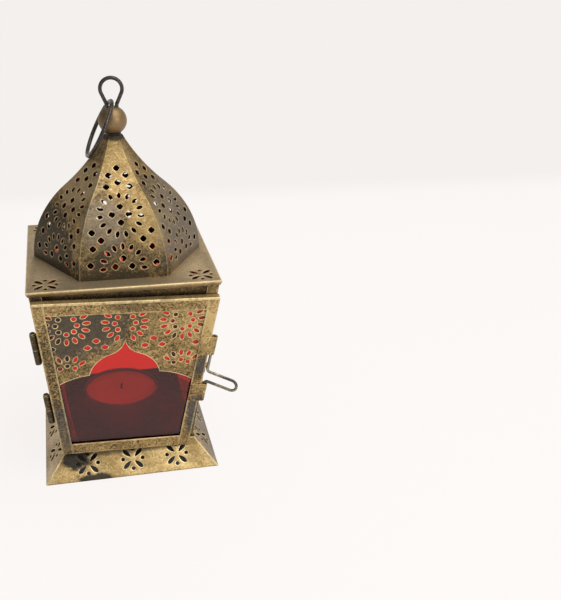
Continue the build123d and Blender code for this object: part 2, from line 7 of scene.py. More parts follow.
import bmesh
import bpy
from bpy.props import FloatProperty, FloatVectorProperty, PointerProperty
from mathutils import Matrix, Vector


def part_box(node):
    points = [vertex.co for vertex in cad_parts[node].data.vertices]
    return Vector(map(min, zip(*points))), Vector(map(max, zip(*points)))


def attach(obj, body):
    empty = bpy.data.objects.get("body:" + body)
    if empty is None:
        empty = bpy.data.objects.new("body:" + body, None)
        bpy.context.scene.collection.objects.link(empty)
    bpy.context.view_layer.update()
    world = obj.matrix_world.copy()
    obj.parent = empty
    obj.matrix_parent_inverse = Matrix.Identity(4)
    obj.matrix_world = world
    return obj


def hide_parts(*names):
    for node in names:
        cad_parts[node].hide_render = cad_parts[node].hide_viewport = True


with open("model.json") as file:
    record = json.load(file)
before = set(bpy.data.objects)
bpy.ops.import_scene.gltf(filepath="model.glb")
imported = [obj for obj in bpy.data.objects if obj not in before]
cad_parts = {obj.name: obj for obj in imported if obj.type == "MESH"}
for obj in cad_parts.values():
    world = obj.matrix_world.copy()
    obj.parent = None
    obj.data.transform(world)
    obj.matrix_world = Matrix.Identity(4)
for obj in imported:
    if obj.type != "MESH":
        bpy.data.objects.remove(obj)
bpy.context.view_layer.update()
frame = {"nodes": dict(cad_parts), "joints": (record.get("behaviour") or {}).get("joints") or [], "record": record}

bl_info = {
    "name": "Fanous lantern",
    "version": (1, 0, 0),
    "blender": (4, 5, 0),
    "location": "3D View > Sidebar > Lantern",
    "description": "Builds the pierced sheets, wires, panes, candle and stage of a brass fanous lantern",
    "category": "Object",
}

# Bodies that the pieces ride on
LANTERN = "lantern"
DOOR = "door"
HASP = "hasp"
RING = "ring"

# Sides of the lantern and their turns about its axis
SIDES = {"front": 0, "right": pi / 2, "back": pi, "left": 3 * pi / 2}
WALLS = ("right", "back", "left")

# Joins vertices that a full turn leaves at the same place
WELD = 1e-6

# Sockets of a colour mix: its share, its two colours and its result
MIX_SHARE, MIX_FIRST, MIX_SECOND, MIX_RESULT = 0, 6, 7, 2

# A pierced hole: its middle, turn, length, width, how pointed it is and how far it swells outwards
Hole = namedtuple("Hole", "x y turn length width point swell")


def length(name, description, default):
    """A length that the sidebar shows in metres."""
    return FloatProperty(name=name, description=description, default=default, unit="LENGTH", precision=5)


def angle(name, description, default):
    """An angle in radians, shown in degrees."""
    return FloatProperty(name=name, description=description, default=default, subtype="ANGLE")


def colour(name, description, default):
    """A linear colour."""
    return FloatVectorProperty(
        name=name, description=description, default=default, size=3, min=0.0, max=1.0, subtype="COLOR"
    )


def level(name, description, default):
    """A plain strength or share."""
    return FloatProperty(name=name, description=description, default=default, min=0.0)


class LanternSheets(bpy.types.PropertyGroup):
    """Sheet thicknesses and the worn rims of edges and holes"""

    sheet: length("Sheet", "Thickness of the folded brass", 0.0006)
    screen: length("Screen", "Thickness of the pierced screens", 0.00045)
    rim: length("Hole rim", "Width of the pale rim round a pierced hole", 0.00038)
    dip: length("Rim dip", "How far a hole's rim is pressed in", 0.0001)
    seam: length("Seam", "Width of the worn strip along a folded or mitred edge", 0.0005)
    soft_edge: length("Soft edge", "Rounding of the folded frame's edges", 0.00022)


class LanternBody(bpy.types.PropertyGroup):
    """Base, leaning walls and roof"""

    base_height: length("Base height", "Height of the flared skirt", 0.012)
    base_flare: length("Base flare", "How far the skirt spreads", 0.0105)
    base_top_half: length("Base top half", "Half width of the skirt at its top", 0.0324)
    base_rosette_pitch: length("Base rosettes", "Spacing of the skirt's rosettes", 0.0222)
    base_rosette_drop: length("Base rosette drop", "Rosette centres below the skirt's top edge", 0.0074)
    foot_half: length("Body foot half", "Half width of the body at the floor", 0.0316)
    floor_top: length("Floor level", "Top of the floor plate", 0.0126)
    lean: angle("Lean", "Outward lean of the walls", radians(7.2))
    header_foot: length("Header foot", "Foot of the headers, up the wall's slope", 0.086927)
    pane_inset: length("Pane inset", "Gap from a wall's edge to its pane", 0.0039)
    roof_top: length("Roof level", "Top of the roof plate", 0.1047)
    roof_half: length("Roof half", "Half width of the roof plate", 0.044029)
    roof_rim: length("Roof rim", "Depth of the folded rim", 0.0025)
    roof_fold: length("Roof fold", "Outer radius of the fold", 0.0006)
    roof_tuck: length("Roof tuck", "How far the rim's lower edge leans in to the posts", 0.0008)
    roof_hole: length("Roof opening", "Middle to flat of the six-sided opening", 0.0324)
    roof_rosette_inset: length("Roof rosettes", "Rosette centres in from the roof's sides", 0.0086)


class LanternDome(bpy.types.PropertyGroup):
    """Ogee of the dome and the things on top of it"""

    apothem: length("Apothem", "Middle to flat of the dome at the roof", 0.035)
    height: length("Height", "Height of the dome", 0.0587)
    neck: length("Neck", "Middle to flat at the neck", 0.0037)
    lower_radius: length("Lower radius", "Radius of the bulging lower arc", 0.05)
    neck_lean: angle("Neck lean", "Lean of the sheet at the neck", radians(25.5))
    rosette_rise: length("Rosette rise", "Whole rosette's centre, up the curve", 0.0301)
    half_rosette_rise: length("Half rosette rise", "Lower rosette's centre, up the curve", 0.0061)
    ball: length("Ball radius", "Radius of the finial ball", 0.00665)
    loop_wire: length("Loop wire", "Diameter of the hanger loop's wire", 0.00175)
    loop_eye: length("Loop eye", "Radius of the loop at the middle of its wire", 0.004975)
    loop_legs: length("Loop legs", "Half spacing of the loop's legs", 0.00225)
    loop_bend: length("Loop bend", "Radius of the bend from leg to arm", 0.0015)
    loop_stand: length("Loop stand", "Straight part of the legs above the ball", 0.0003)
    loop_height: length("Loop height", "Height of the loop above the ball", 0.0136)
    ring_wire: length("Ring wire", "Diameter of the carrying ring's wire", 0.0019)
    ring_radius: length("Ring radius", "Radius of the carrying ring at the middle of its wire", 0.0138)
    ring_lean: angle("Ring lean", "Lean of the carrying ring as it rests on the dome", radians(26.5))


class LanternDoor(bpy.types.PropertyGroup):
    """Door, its screen pattern and its hasp"""

    shift: length("Shift", "Set of the door towards its hinges", -0.00125)
    sag: angle("Sag", "Turn of the door as its free side hangs", radians(2.0))
    foot_gap: length("Foot gap", "Gap under the door, up the slope", 0.0015)
    height: length("Height", "Height of the door", 0.085427)
    stand: length("Stand", "Door's face in front of the wall", 0.0042)
    foot_half: length("Foot half", "Half width of the door at its foot", 0.031588)
    head_half: length("Head half", "Half width of the door at its head", 0.042595)
    depth: length("Depth", "Thickness of the door", 0.0033)
    lip: length("Lip", "Depth of the folded lip along the door's head", 0.0011)
    worn_strip: length("Worn strip", "Width of the rubbed strip along the frame's edges", 0.0005)
    pane_inset: length("Pane inset", "Gap from the door's edge to its pane", 0.0008)
    pattern_shift: length("Pattern shift", "Set of the pierced pattern towards the hinges", -0.001)
    hasp_wire: length("Hasp wire", "Diameter of the hasp's wire", 0.00145)
    hasp_arm: length("Hasp arm", "Reach of the hairpin", 0.0162)
    hasp_spacing: length("Hasp spacing", "Spacing of the hairpin's arms", 0.0058)
    hasp_bend: length("Hasp bend", "Radius of the bend from prong to arm", 0.0015)
    hasp_upper_prong: length("Upper prong", "Length of the prong above the hairpin", 0.019)
    hasp_lower_prong: length("Lower prong", "Length from the upper arm to the lower prong's end", 0.0155)
    hasp_rest: angle("Hasp rest", "Turn of the hairpin out of the door's plane", radians(32.05))


class LanternFinish(bpy.types.PropertyGroup):
    """Colours of the metals, glass and candle, and the strength of the light"""

    pale: colour("Pale brass", "Rubbed high spots", (0.62, 0.45, 0.2))
    mid: colour("Brass", "Main tone of the sheet", (0.33, 0.22, 0.088))
    dark: colour("Patina", "Dark antique finish", (0.065, 0.05, 0.03))
    rim: colour("Rim", "Pale worn edges", (0.75, 0.585, 0.31))
    grey: colour("Grey patch", "Rubbed olive-grey patches", (0.086, 0.073, 0.056))
    slate: colour("Slate patch", "Bluish-grey rubbed patch", (0.088, 0.086, 0.09))
    # The stain colour, also painted shade at the foot of the finial ball.
    stain_and_shade: colour("Stain", "Dark stains and painted shade", (0.022, 0.021, 0.019))
    # Ash and dulled brass are sheet tones, and also painted light and reflection on the sides of the base and
    # dome.
    ash_and_painted_light: colour("Ash brass", "Grey tan of dulled sheet and of painted reflection", (0.27, 0.225, 0.175))
    dull_and_painted_light: colour("Dulled brass", "Pale grey tan of rubbed flat sheet and of painted light", (0.66, 0.555, 0.41))
    # The soot colour, also laid on as painted shade in recesses, behind the door's face and on the post tops.
    soot: colour("Soot and shade", "Sooty inner faces and painted shade", (0.02, 0.016, 0.013))
    wire: colour("Wire", "Dark wire", (0.055, 0.05, 0.046))
    hasp: colour("Hasp", "Grey hasp wire", (0.26, 0.23, 0.175))
    ball: colour("Ball", "Smooth olive brass", (0.25, 0.165, 0.085))
    glass: colour("Glass", "Red panes", (0.79, 0.085, 0.045))
    wax: colour("Wax", "Candle wax", (0.96, 0.92, 0.84))
    cup: colour("Cup", "Dulled pressed aluminium", (0.22, 0.22, 0.23))
    wick: colour("Wick", "Burnt cotton", (0.05, 0.04, 0.035))
    floor: colour("Floor", "Pale floor", (0.93, 0.915, 0.905))
    floor_glow: colour("Floor glow", "Floor as the eye sees it in the open", (0.985, 0.95, 0.935))
    backdrop: colour("Backdrop", "Pale backdrop", (0.9, 0.872, 0.848))
    ambient: level("Ambient", "Strength of the soft light from all round", 0.75)
    overhead: level("Overhead", "Power of the overhead soft box", 4.5)
    front: level("Front", "Power of the front soft box", 2.2)


# Placing and finishing


def placement(origin, x_dir, z_dir):
    """Matrix of a plane from its origin, its x direction and its normal."""
    along = Vector(x_dir).normalized()
    out = Vector(z_dir).normalized()
    up = out.cross(along)
    return Matrix.Translation(Vector(origin)) @ Matrix((along, up, out)).transposed().to_4x4()


def wall_place(body, turn, depth):
    """Plane of a leaning wall, turned about the lantern's axis, set behind the wall's face by depth."""
    out = Vector((0, -cos(body.lean), -sin(body.lean)))
    plane = placement(Vector((0, -body.foot_half, body.floor_top)) - out * depth, (1, 0, 0), out)
    return Matrix.Rotation(turn, 4, "Z") @ plane


def door_place(body, door, depth):
    """Plane of the door's face with its origin at the door's middle, set behind the face by depth."""
    middle = Vector((door.shift, door.foot_gap + door.height / 2, door.stand - depth))
    return wall_place(body, 0, 0) @ Matrix.Translation(middle) @ Matrix.Rotation(-door.sag, 4, "Z")


def link_object(name, data):
    """Puts a mesh, lamp or camera into the scene."""
    item = bpy.data.objects.new(name, data)
    bpy.context.scene.collection.objects.link(item)
    return item


def finish_piece(bm, name, body, slot, material, node, smooth=30.0):
    """Turns a bmesh into a piece that rides on a body and stands for its solid."""
    mesh = bpy.data.meshes.new(name)
    bm.to_mesh(mesh)
    bm.free()
    mesh.shade_smooth()
    mesh.set_sharp_from_angle(angle=radians(smooth))
    mesh.materials.append(bpy.data.materials[material])
    piece = link_object(name, mesh)
    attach(piece, body)
    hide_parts(node)


def worn_layer(bm):
    """Face layer that marks pale worn strips, and by a negative value the faces darkened for soot and for painted
    shade.
    """
    return bm.faces.layers.float.get("worn") or bm.faces.layers.float.new("worn")


def new_parts(result, kind, key="geom"):
    """Vertices, edges or faces among an operator's new geometry."""
    return [item for item in result[key] if isinstance(item, kind)]


def new_verts(result):
    """Vertices among an operator's new geometry."""
    return new_parts(result, bmesh.types.BMVert)


def open_edges(bm, verts):
    """Boundary edges between the given vertices."""
    run = set(verts)
    return [e for e in bm.edges if e.is_boundary and e.verts[0] in run and e.verts[1] in run]


def soot_and_shade_inside(bm):
    """Darkens the faces that look towards the lantern's axis by a negative wear: candle soot, and painted shade
    inside the lantern.
    """
    layer = worn_layer(bm)
    for face in bm.faces:
        inwards = -face.calc_center_median()
        inwards.z = 0.0
        if face.normal.dot(inwards.normalized()) > 0.45:
            face[layer] = -1.0


def mark_facing(bm, direction, share):
    """Marks the faces that look along a direction as worn, or darkens them by a negative share for soot and for
    painted shade.
    """
    layer = worn_layer(bm)
    for face in bm.faces:
        if face.normal.dot(direction) > 0.6:
            face[layer] = share


def mark_worn(bm, result, share=1.0):
    """Marks an operator's new faces as worn."""
    layer = worn_layer(bm)
    for face in new_parts(result, bmesh.types.BMFace):
        face[layer] = share


# Pierced sheets


def closed_line(bm, points):
    """Joins points in the sheet's plane into a closed line and returns its vertices."""
    verts = [bm.verts.new((x, y, 0)) for x, y in points]
    for start, end in zip(verts, verts[1:] + verts[:1]):
        bm.edges.new((start, end))
    return verts


def hole_line(bm, hole, rim, sides):
    """Draws a hole's outer rim and returns its matrix and vertices."""
    verts = bmesh.ops.create_circle(bm, cap_ends=False, segments=sides, radius=1.0)["verts"]
    for vert in verts:
        x, y = vert.co.x, vert.co.y
        along = abs(x) ** hole.point * (1 if x > 0 else -1)
        across = abs(y) ** hole.point * (1 if y > 0 else -1)
        vert.co = (along, across * (1 + hole.swell * along), 0)
    size = Vector((hole.length / 2 + rim, hole.width / 2 + rim, 1))
    bmesh.ops.scale(bm, vec=size, verts=verts)
    place = Matrix.Translation((hole.x, hole.y, 0)) @ Matrix.Rotation(hole.turn, 4, "Z")
    bmesh.ops.transform(bm, matrix=place, verts=verts)
    return place, verts


def press_rim(bm, hole, place, verts, rim, dip):
    """Pulls a hole's outline in to its real size as a pressed, worn rim."""
    result = bmesh.ops.extrude_edge_only(bm, edges=open_edges(bm, verts))
    inner = new_verts(result)
    share = Vector((hole.length / (hole.length + 2 * rim), hole.width / (hole.width + 2 * rim), 1))
    bmesh.ops.scale(bm, vec=share, space=place.inverted(), verts=inner)
    bmesh.ops.translate(bm, vec=(0, 0, -dip), verts=inner)
    mark_worn(bm, result)


def widen_edge(bm, verts, moves, share=1.0):
    """Extrudes a run of boundary edges and moves each new vertex to its place as a worn strip."""

    def spot(vert):
        """Place of a vertex to a tenth of a micrometre, to know it again after the extrusion."""
        return tuple(round(c, 7) for c in vert.co)

    targets = {spot(vert): move for vert, move in zip(verts, moves)}
    result = bmesh.ops.extrude_edge_only(bm, edges=open_edges(bm, verts))
    for vert in new_verts(result):
        x, y = targets[spot(vert)]
        vert.co = (x, y, vert.co.z)
    mark_worn(bm, result, share)


def punched_sheet(outline, holes, sheets, sides=14, openings=(), rim_share=1.0):
    """Flat sheet, facing +Z, with pressed holes and plain openings, and its outline's vertices."""
    rim = sheets.rim * rim_share
    bm = bmesh.new()
    worn_layer(bm)
    border = closed_line(bm, outline)
    for opening in openings:
        closed_line(bm, opening)
    lines = [(hole, *hole_line(bm, hole, rim, sides)) for hole in holes]
    bmesh.ops.triangle_fill(bm, use_beauty=True, use_dissolve=False, edges=bm.edges[:])
    for face in bm.faces:
        if face.normal.z < 0:
            face.normal_flip()
    for hole, place, verts in lines:
        press_rim(bm, hole, place, verts, rim, sheets.dip)
    return bm, border


def ring_holes(middle, radius, degrees, size, point=1.0, swell=0.0):
    """Holes on a circle, each turned to face outwards."""
    holes = []
    for degree in degrees:
        turn = radians(degree)
        x = middle[0] + radius * cos(turn)
        y = middle[1] + radius * sin(turn)
        holes.append(Hole(x, y, turn, size[0], size[1], point, swell))
    return holes


def leaf_rosette(middle, leaf=(0.0049, 0.0019), dot=0.0016):
    """Four swelling leaves with a dot between each two."""
    leaf_circle, dot_circle = 0.00405, 0.0049
    leaves = ring_holes(middle, leaf_circle, (45, 135, 225, 315), leaf, point=1.1, swell=0.34)
    return leaves + ring_holes(middle, dot_circle, (0, 90, 180, 270), (dot, dot))


def solid_sheet(bm, thickness):
    """Gives a faced sheet its thickness, behind its face."""
    bmesh.ops.solidify(bm, geom=bm.faces[:], thickness=thickness)


# Brass, glass and candle materials


def new_group(name, inputs, outputs):
    """Empty shader node group with named sockets."""
    tree = bpy.data.node_groups.new(name, "ShaderNodeTree")
    for label, kind, value in inputs:
        socket = tree.interface.new_socket(label, in_out="INPUT", socket_type=kind)
        socket.default_value = value
    for label, kind in outputs:
        tree.interface.new_socket(label, in_out="OUTPUT", socket_type=kind)
    return tree, tree.nodes.new("NodeGroupInput"), tree.nodes.new("NodeGroupOutput")


def add_noise(tree, scale, detail, rough, warp):
    """Noise on Object coordinates; scale counts features per metre."""
    coords = tree.nodes.new("ShaderNodeTexCoord")
    noise = tree.nodes.new("ShaderNodeTexNoise")
    noise.inputs["Scale"].default_value = scale
    noise.inputs["Detail"].default_value = detail
    noise.inputs["Roughness"].default_value = rough
    noise.inputs["Distortion"].default_value = warp
    tree.links.new(coords.outputs["Object"], noise.inputs["Vector"])
    return noise.outputs["Fac"]


def add_math(tree, operation, first, second, clamp=False):
    """Math node with plain numbers or sockets."""
    node = tree.nodes.new("ShaderNodeMath")
    node.operation = operation
    node.use_clamp = clamp
    for socket, value in zip(node.inputs, (first, second)):
        if isinstance(value, bpy.types.NodeSocket):
            tree.links.new(value, socket)
        else:
            socket.default_value = value
    return node.outputs[0]


def add_vector(tree, operation, *values):
    """Vector math node between sockets."""
    node = tree.nodes.new("ShaderNodeVectorMath")
    node.operation = operation
    for socket, value in zip(node.inputs, values):
        tree.links.new(value, socket)
    return node.outputs


def add_split(tree, label):
    """X, Y and Z of the named coordinates."""
    coords = tree.nodes.new("ShaderNodeTexCoord")
    split = tree.nodes.new("ShaderNodeSeparateXYZ")
    tree.links.new(coords.outputs[label], split.inputs["Vector"])
    return split.outputs


def add_range(tree, value, low, high, to_low, to_high):
    """Smooth step from one range to another."""
    node = tree.nodes.new("ShaderNodeMapRange")
    node.interpolation_type = "SMOOTHSTEP"
    for label, number in (("From Min", low), ("From Max", high), ("To Min", to_low), ("To Max", to_high)):
        node.inputs[label].default_value = number
    tree.links.new(value, node.inputs["Value"])
    return node.outputs["Result"]


def add_mix(tree, share, first, second):
    """Colour mix of sockets or plain colours."""
    node = tree.nodes.new("ShaderNodeMix")
    node.data_type = "RGBA"
    for place, value in ((MIX_SHARE, share), (MIX_FIRST, first), (MIX_SECOND, second)):
        if isinstance(value, bpy.types.NodeSocket):
            tree.links.new(value, node.inputs[place])
        elif place == MIX_SHARE:
            node.inputs[place].default_value = value
        else:
            node.inputs[place].default_value = (*value, 1.0)
    return node.outputs[MIX_RESULT]


def add_seen(tree, in_metal):
    """Share of the rays that show the pale background: to the eye, through glass and partly in metal."""
    path = tree.nodes.new("ShaderNodeLightPath")
    seen = add_math(tree, "ADD", path.outputs["Is Camera Ray"], path.outputs["Is Transmission Ray"], True)
    mirrored = add_math(tree, "MULTIPLY", path.outputs["Is Glossy Ray"], in_metal)
    return add_math(tree, "ADD", seen, mirrored, True)


def make_patina_group():
    """Mottled antique finish: large cloudy patches, curled rub marks and fine speckle."""
    inputs = [
        ("Pale", "NodeSocketColor", (0.6, 0.45, 0.2, 1)),
        ("Brass", "NodeSocketColor", (0.33, 0.22, 0.09, 1)),
        ("Patina", "NodeSocketColor", (0.07, 0.05, 0.03, 1)),
        ("Age", "NodeSocketFloat", 0.5),
        ("Mottle", "NodeSocketFloat", 1.0),
    ]
    outputs = [("Color", "NodeSocketColor")]
    outputs += [(label, "NodeSocketFloat") for label in ("Roughness", "Height")]
    tree, entry, leave = new_group("Antique patina", inputs, outputs)
    cloud = add_noise(tree, scale=60.0, detail=3.0, rough=0.55, warp=0.8)
    curl = add_noise(tree, scale=430.0, detail=3.0, rough=0.58, warp=2.6)
    speck = add_noise(tree, scale=1500.0, detail=3.0, rough=0.7, warp=0.8)
    swing = add_math(tree, "MULTIPLY", add_math(tree, "SUBTRACT", curl, 0.5), entry.outputs["Mottle"])
    tone = add_math(tree, "ADD", add_math(tree, "MULTIPLY", cloud, 0.6), add_math(tree, "ADD", swing, 0.57))
    tone = add_math(tree, "ADD", tone, add_math(tree, "MULTIPLY", speck, 0.36))
    tone = add_math(tree, "SUBTRACT", tone, entry.outputs["Age"])
    dim = add_range(tree, tone, 0.2, 0.56, 0.0, 1.0)
    glow = add_range(tree, tone, 0.5, 0.86, 0.0, 1.0)
    shade = add_mix(tree, dim, entry.outputs["Patina"], entry.outputs["Brass"])
    tree.links.new(add_mix(tree, glow, shade, entry.outputs["Pale"]), leave.inputs["Color"])
    tree.links.new(add_range(tree, tone, 0.2, 0.9, 0.58, 0.42), leave.inputs["Roughness"])
    fine = add_math(tree, "MULTIPLY", speck, 0.4)
    grain = add_math(tree, "ADD", add_math(tree, "MULTIPLY", curl, 0.6), fine)
    tree.links.new(grain, leave.inputs["Height"])


def make_wear_group():
    """Pale worn strips along the marked rims and edges, broken up by rubbing, and soot and painted shade on the
    faces marked negative.
    """
    outputs = [("Mask", "NodeSocketFloat"), ("Soot and shade", "NodeSocketFloat")]
    tree, entry, leave = new_group("Worn edge and shade", [("Wear", "NodeSocketFloat", 0.9)], outputs)
    mark = tree.nodes.new("ShaderNodeAttribute")
    mark.attribute_name = "worn"
    rub = add_noise(tree, scale=260.0, detail=3.0, rough=0.6, warp=1.0)
    patchy = add_range(tree, rub, 0.3, 0.62, 0.35, 1.0)
    mask = add_math(tree, "MULTIPLY", mark.outputs["Fac"], patchy)
    mask = add_math(tree, "MULTIPLY", mask, entry.outputs["Wear"], clamp=True)
    tree.links.new(mask, leave.inputs["Mask"])
    # Faces marked negative take the soot colour: candle soot, and painted shade in recesses.
    soot = add_math(tree, "MULTIPLY", mark.outputs["Fac"], -0.94, clamp=True)
    tree.links.new(soot, leave.inputs["Soot and shade"])


def make_stain_and_shading_group():
    """Ragged patch round a place on the lantern."""
    inputs = [
        ("Middle", "NodeSocketVector", (0, 0, 0)),
        ("Reach", "NodeSocketVector", (0.01, 0.01, 0.01)),
        ("Ragged", "NodeSocketFloat", 0.5),
    ]
    tree, entry, leave = new_group("Stain and shading patch", inputs, [("Mask", "NodeSocketFloat")])
    coords = tree.nodes.new("ShaderNodeTexCoord")
    offset = add_vector(tree, "SUBTRACT", coords.outputs["Object"], entry.outputs["Middle"])
    scaled = add_vector(tree, "DIVIDE", offset["Vector"], entry.outputs["Reach"])
    far = add_vector(tree, "LENGTH", scaled["Vector"])
    cloud = add_noise(tree, scale=240.0, detail=4.0, rough=0.65, warp=1.2)
    ragged = add_math(tree, "MULTIPLY", add_math(tree, "SUBTRACT", cloud, 0.5), entry.outputs["Ragged"])
    edge = add_math(tree, "ADD", far["Value"], add_math(tree, "MULTIPLY", ragged, 2.0))
    tree.links.new(add_range(tree, edge, 0.7, 1.15, 1.0, 0.0), leave.inputs["Mask"])


def add_group(tree, name, values):
    """Places a shared group in a material with its own values."""
    node = tree.nodes.new("ShaderNodeGroup")
    node.node_tree = bpy.data.node_groups[name]
    for label, value in values.items():
        node.inputs[label].default_value = value
    return node


def new_material(name):
    """Makes a material and returns its nodes and its Principled shader."""
    material = bpy.data.materials.new(name)
    material.use_nodes = True
    return material.node_tree, material.node_tree.nodes["Principled BSDF"]


def add_patch(tree, amount, middle, reach, ragged):
    """Mask of a ragged patch, times an amount."""
    patch = add_group(tree, "Stain and shading patch", {"Middle": middle, "Reach": reach, "Ragged": ragged})
    return add_math(tree, "MULTIPLY", patch.outputs["Mask"], amount)


def add_stains_and_shading(tree, tone, stains_and_shading):
    """Mixes ragged patches of other tones into a colour."""
    for tint, *patch in stains_and_shading:
        tone = add_mix(tree, add_patch(tree, *patch), tone, tint)
    return tone


def blend_surface(tree, share, first, second):
    """Gives a material a blend of two shaders as its surface."""
    blend = tree.nodes.new("ShaderNodeMixShader")
    for socket, value in zip(blend.inputs, (share, first, second)):
        tree.links.new(value, socket)
    tree.links.new(blend.outputs["Shader"], tree.nodes["Material Output"].inputs["Surface"])


def brass_material(name, finish, age, shifts=(), stains_and_shading=(), grime_and_shade=(), wear=0.95, mottle=1.0):
    """Antique brass with worn edges, paler or darker areas, and the stained patches and painted light and shade of
    one group of pieces.
    """
    tree, shader = new_material(name)
    values = {
        "Pale": (*finish.pale, 1),
        "Brass": (*finish.mid, 1),
        "Patina": (*finish.dark, 1),
        "Mottle": mottle,
    }
    patina = add_group(tree, "Antique patina", values)
    darkness = age
    for patch in shifts:
        darkness = add_math(tree, "ADD", add_patch(tree, *patch), darkness)
    if shifts:
        tree.links.new(darkness, patina.inputs["Age"])
    else:
        patina.inputs["Age"].default_value = age
    tone = add_stains_and_shading(tree, patina.outputs["Color"], stains_and_shading)
    edge = add_group(tree, "Worn edge and shade", {"Wear": wear})
    tone = add_mix(tree, edge.outputs["Mask"], tone, finish.rim)
    tone = add_stains_and_shading(tree, tone, grime_and_shade)
    # The soot colour on the faces marked negative, for soot and for painted shade.
    tone = add_mix(tree, edge.outputs["Soot and shade"], tone, finish.soot)
    tree.links.new(tone, shader.inputs["Base Color"])
    tree.links.new(patina.outputs["Roughness"], shader.inputs["Roughness"])
    shader.inputs["Metallic"].default_value = 0.88
    bump = tree.nodes.new("ShaderNodeBump")
    bump.inputs["Strength"].default_value = 0.35
    bump.inputs["Distance"].default_value = 0.0002
    tree.links.new(patina.outputs["Height"], bump.inputs["Height"])
    tree.links.new(bump.outputs["Normal"], shader.inputs["Normal"])


def wire_material(name, tint, rubbed, most, stains_and_shading=()):
    """Drawn wire with rub marks of a second colour, and its stained and painted-shade patches."""
    tree, shader = new_material(name)
    rub = add_noise(tree, scale=420.0, detail=4.0, rough=0.6, warp=1.5)
    share = add_range(tree, rub, 0.48, 0.72, 0.0, most)
    tone = add_stains_and_shading(tree, add_mix(tree, share, tint, rubbed), stains_and_shading)
    tree.links.new(tone, shader.inputs["Base Color"])
    tree.links.new(add_range(tree, rub, 0.3, 0.7, 0.42, 0.28), shader.inputs["Roughness"])
    shader.inputs["Metallic"].default_value = 0.9


def ball_material(finish):
    """Smooth satin olive brass, with painted shade at its foot and on its left side."""
    tree, shader = new_material("satin ball")
    haze = add_noise(tree, scale=130.0, detail=3.0, rough=0.55, warp=0.6)
    share = add_range(tree, haze, 0.35, 0.75, 0.0, 0.55)
    stains_and_shading = [
        # Painted shade at the collar under the ball and on the ball's left side.
        (finish.stain_and_shade, 1.0, (0.0, 0.0, 0.1636), (0.009, 0.009, 0.0017), 0.2),
        (finish.dark, 0.6, (-0.009, 0.0, 0.168), (0.008, 0.02, 0.02), 0.3),
    ]
    tone = add_stains_and_shading(tree, add_mix(tree, share, finish.ball, finish.mid), stains_and_shading)
    tree.links.new(tone, shader.inputs["Base Color"])
    tree.links.new(add_range(tree, haze, 0.3, 0.7, 0.42, 0.5), shader.inputs["Roughness"])
    shader.inputs["Metallic"].default_value = 0.9


def glass_material(finish):
    """Clear red glass that lets light through to the candle."""
    tree, shader = new_material("red glass")
    shader.inputs["Base Color"].default_value = (*finish.glass, 1)
    shader.inputs["Transmission Weight"].default_value = 1.0
    shader.inputs["Metallic"].default_value = 0.0
    shader.inputs["IOR"].default_value = 1.45
    smear = add_noise(tree, scale=90.0, detail=3.0, rough=0.6, warp=1.0)
    tree.links.new(add_range(tree, smear, 0.4, 0.8, 0.02, 0.07), shader.inputs["Roughness"])
    path = tree.nodes.new("ShaderNodeLightPath")
    clear = tree.nodes.new("ShaderNodeBsdfTransparent")
    clear.inputs["Color"].default_value = (*[sqrt(c) for c in finish.glass], 1)
    blend_surface(tree, path.outputs["Is Shadow Ray"], shader.outputs["BSDF"], clear.outputs["BSDF"])


def candle_materials(finish):
    """Wax, pressed cup and wick."""
    tree, shader = new_material("candle wax")
    cloud = add_noise(tree, scale=160.0, detail=3.0, rough=0.55, warp=0.4)
    tint = [c * 0.9 for c in finish.wax]
    tree.links.new(add_mix(tree, cloud, finish.wax, tint), shader.inputs["Base Color"])
    tree.links.new(add_range(tree, cloud, 0.3, 0.7, 0.4, 0.52), shader.inputs["Roughness"])
    shader.inputs["Subsurface Weight"].default_value = 0.12
    shader.inputs["Subsurface Radius"].default_value = (0.004, 0.003, 0.002)
    tree, shader = new_material("pressed cup")
    dents = add_noise(tree, scale=220.0, detail=2.0, rough=0.5, warp=0.3)
    shader.inputs["Base Color"].default_value = (*finish.cup, 1)
    shader.inputs["Metallic"].default_value = 1.0
    tree.links.new(add_range(tree, dents, 0.3, 0.7, 0.45, 0.6), shader.inputs["Roughness"])
    tree, shader = new_material("burnt wick")
    char = add_noise(tree, scale=900.0, detail=3.0, rough=0.6, warp=0.5)
    soot = [c * 0.4 for c in finish.wick]
    tree.links.new(add_mix(tree, char, finish.wick, soot), shader.inputs["Base Color"])
    shader.inputs["Roughness"].default_value = 0.9


# Finishes of the brass pieces and the hasp. A shift holds how much darker a patch is, its middle,
# its reach and its raggedness. A patch of another tint holds that tint and its share before the last three.
# Some of these patches are painted light and shade, as marked where they stand.


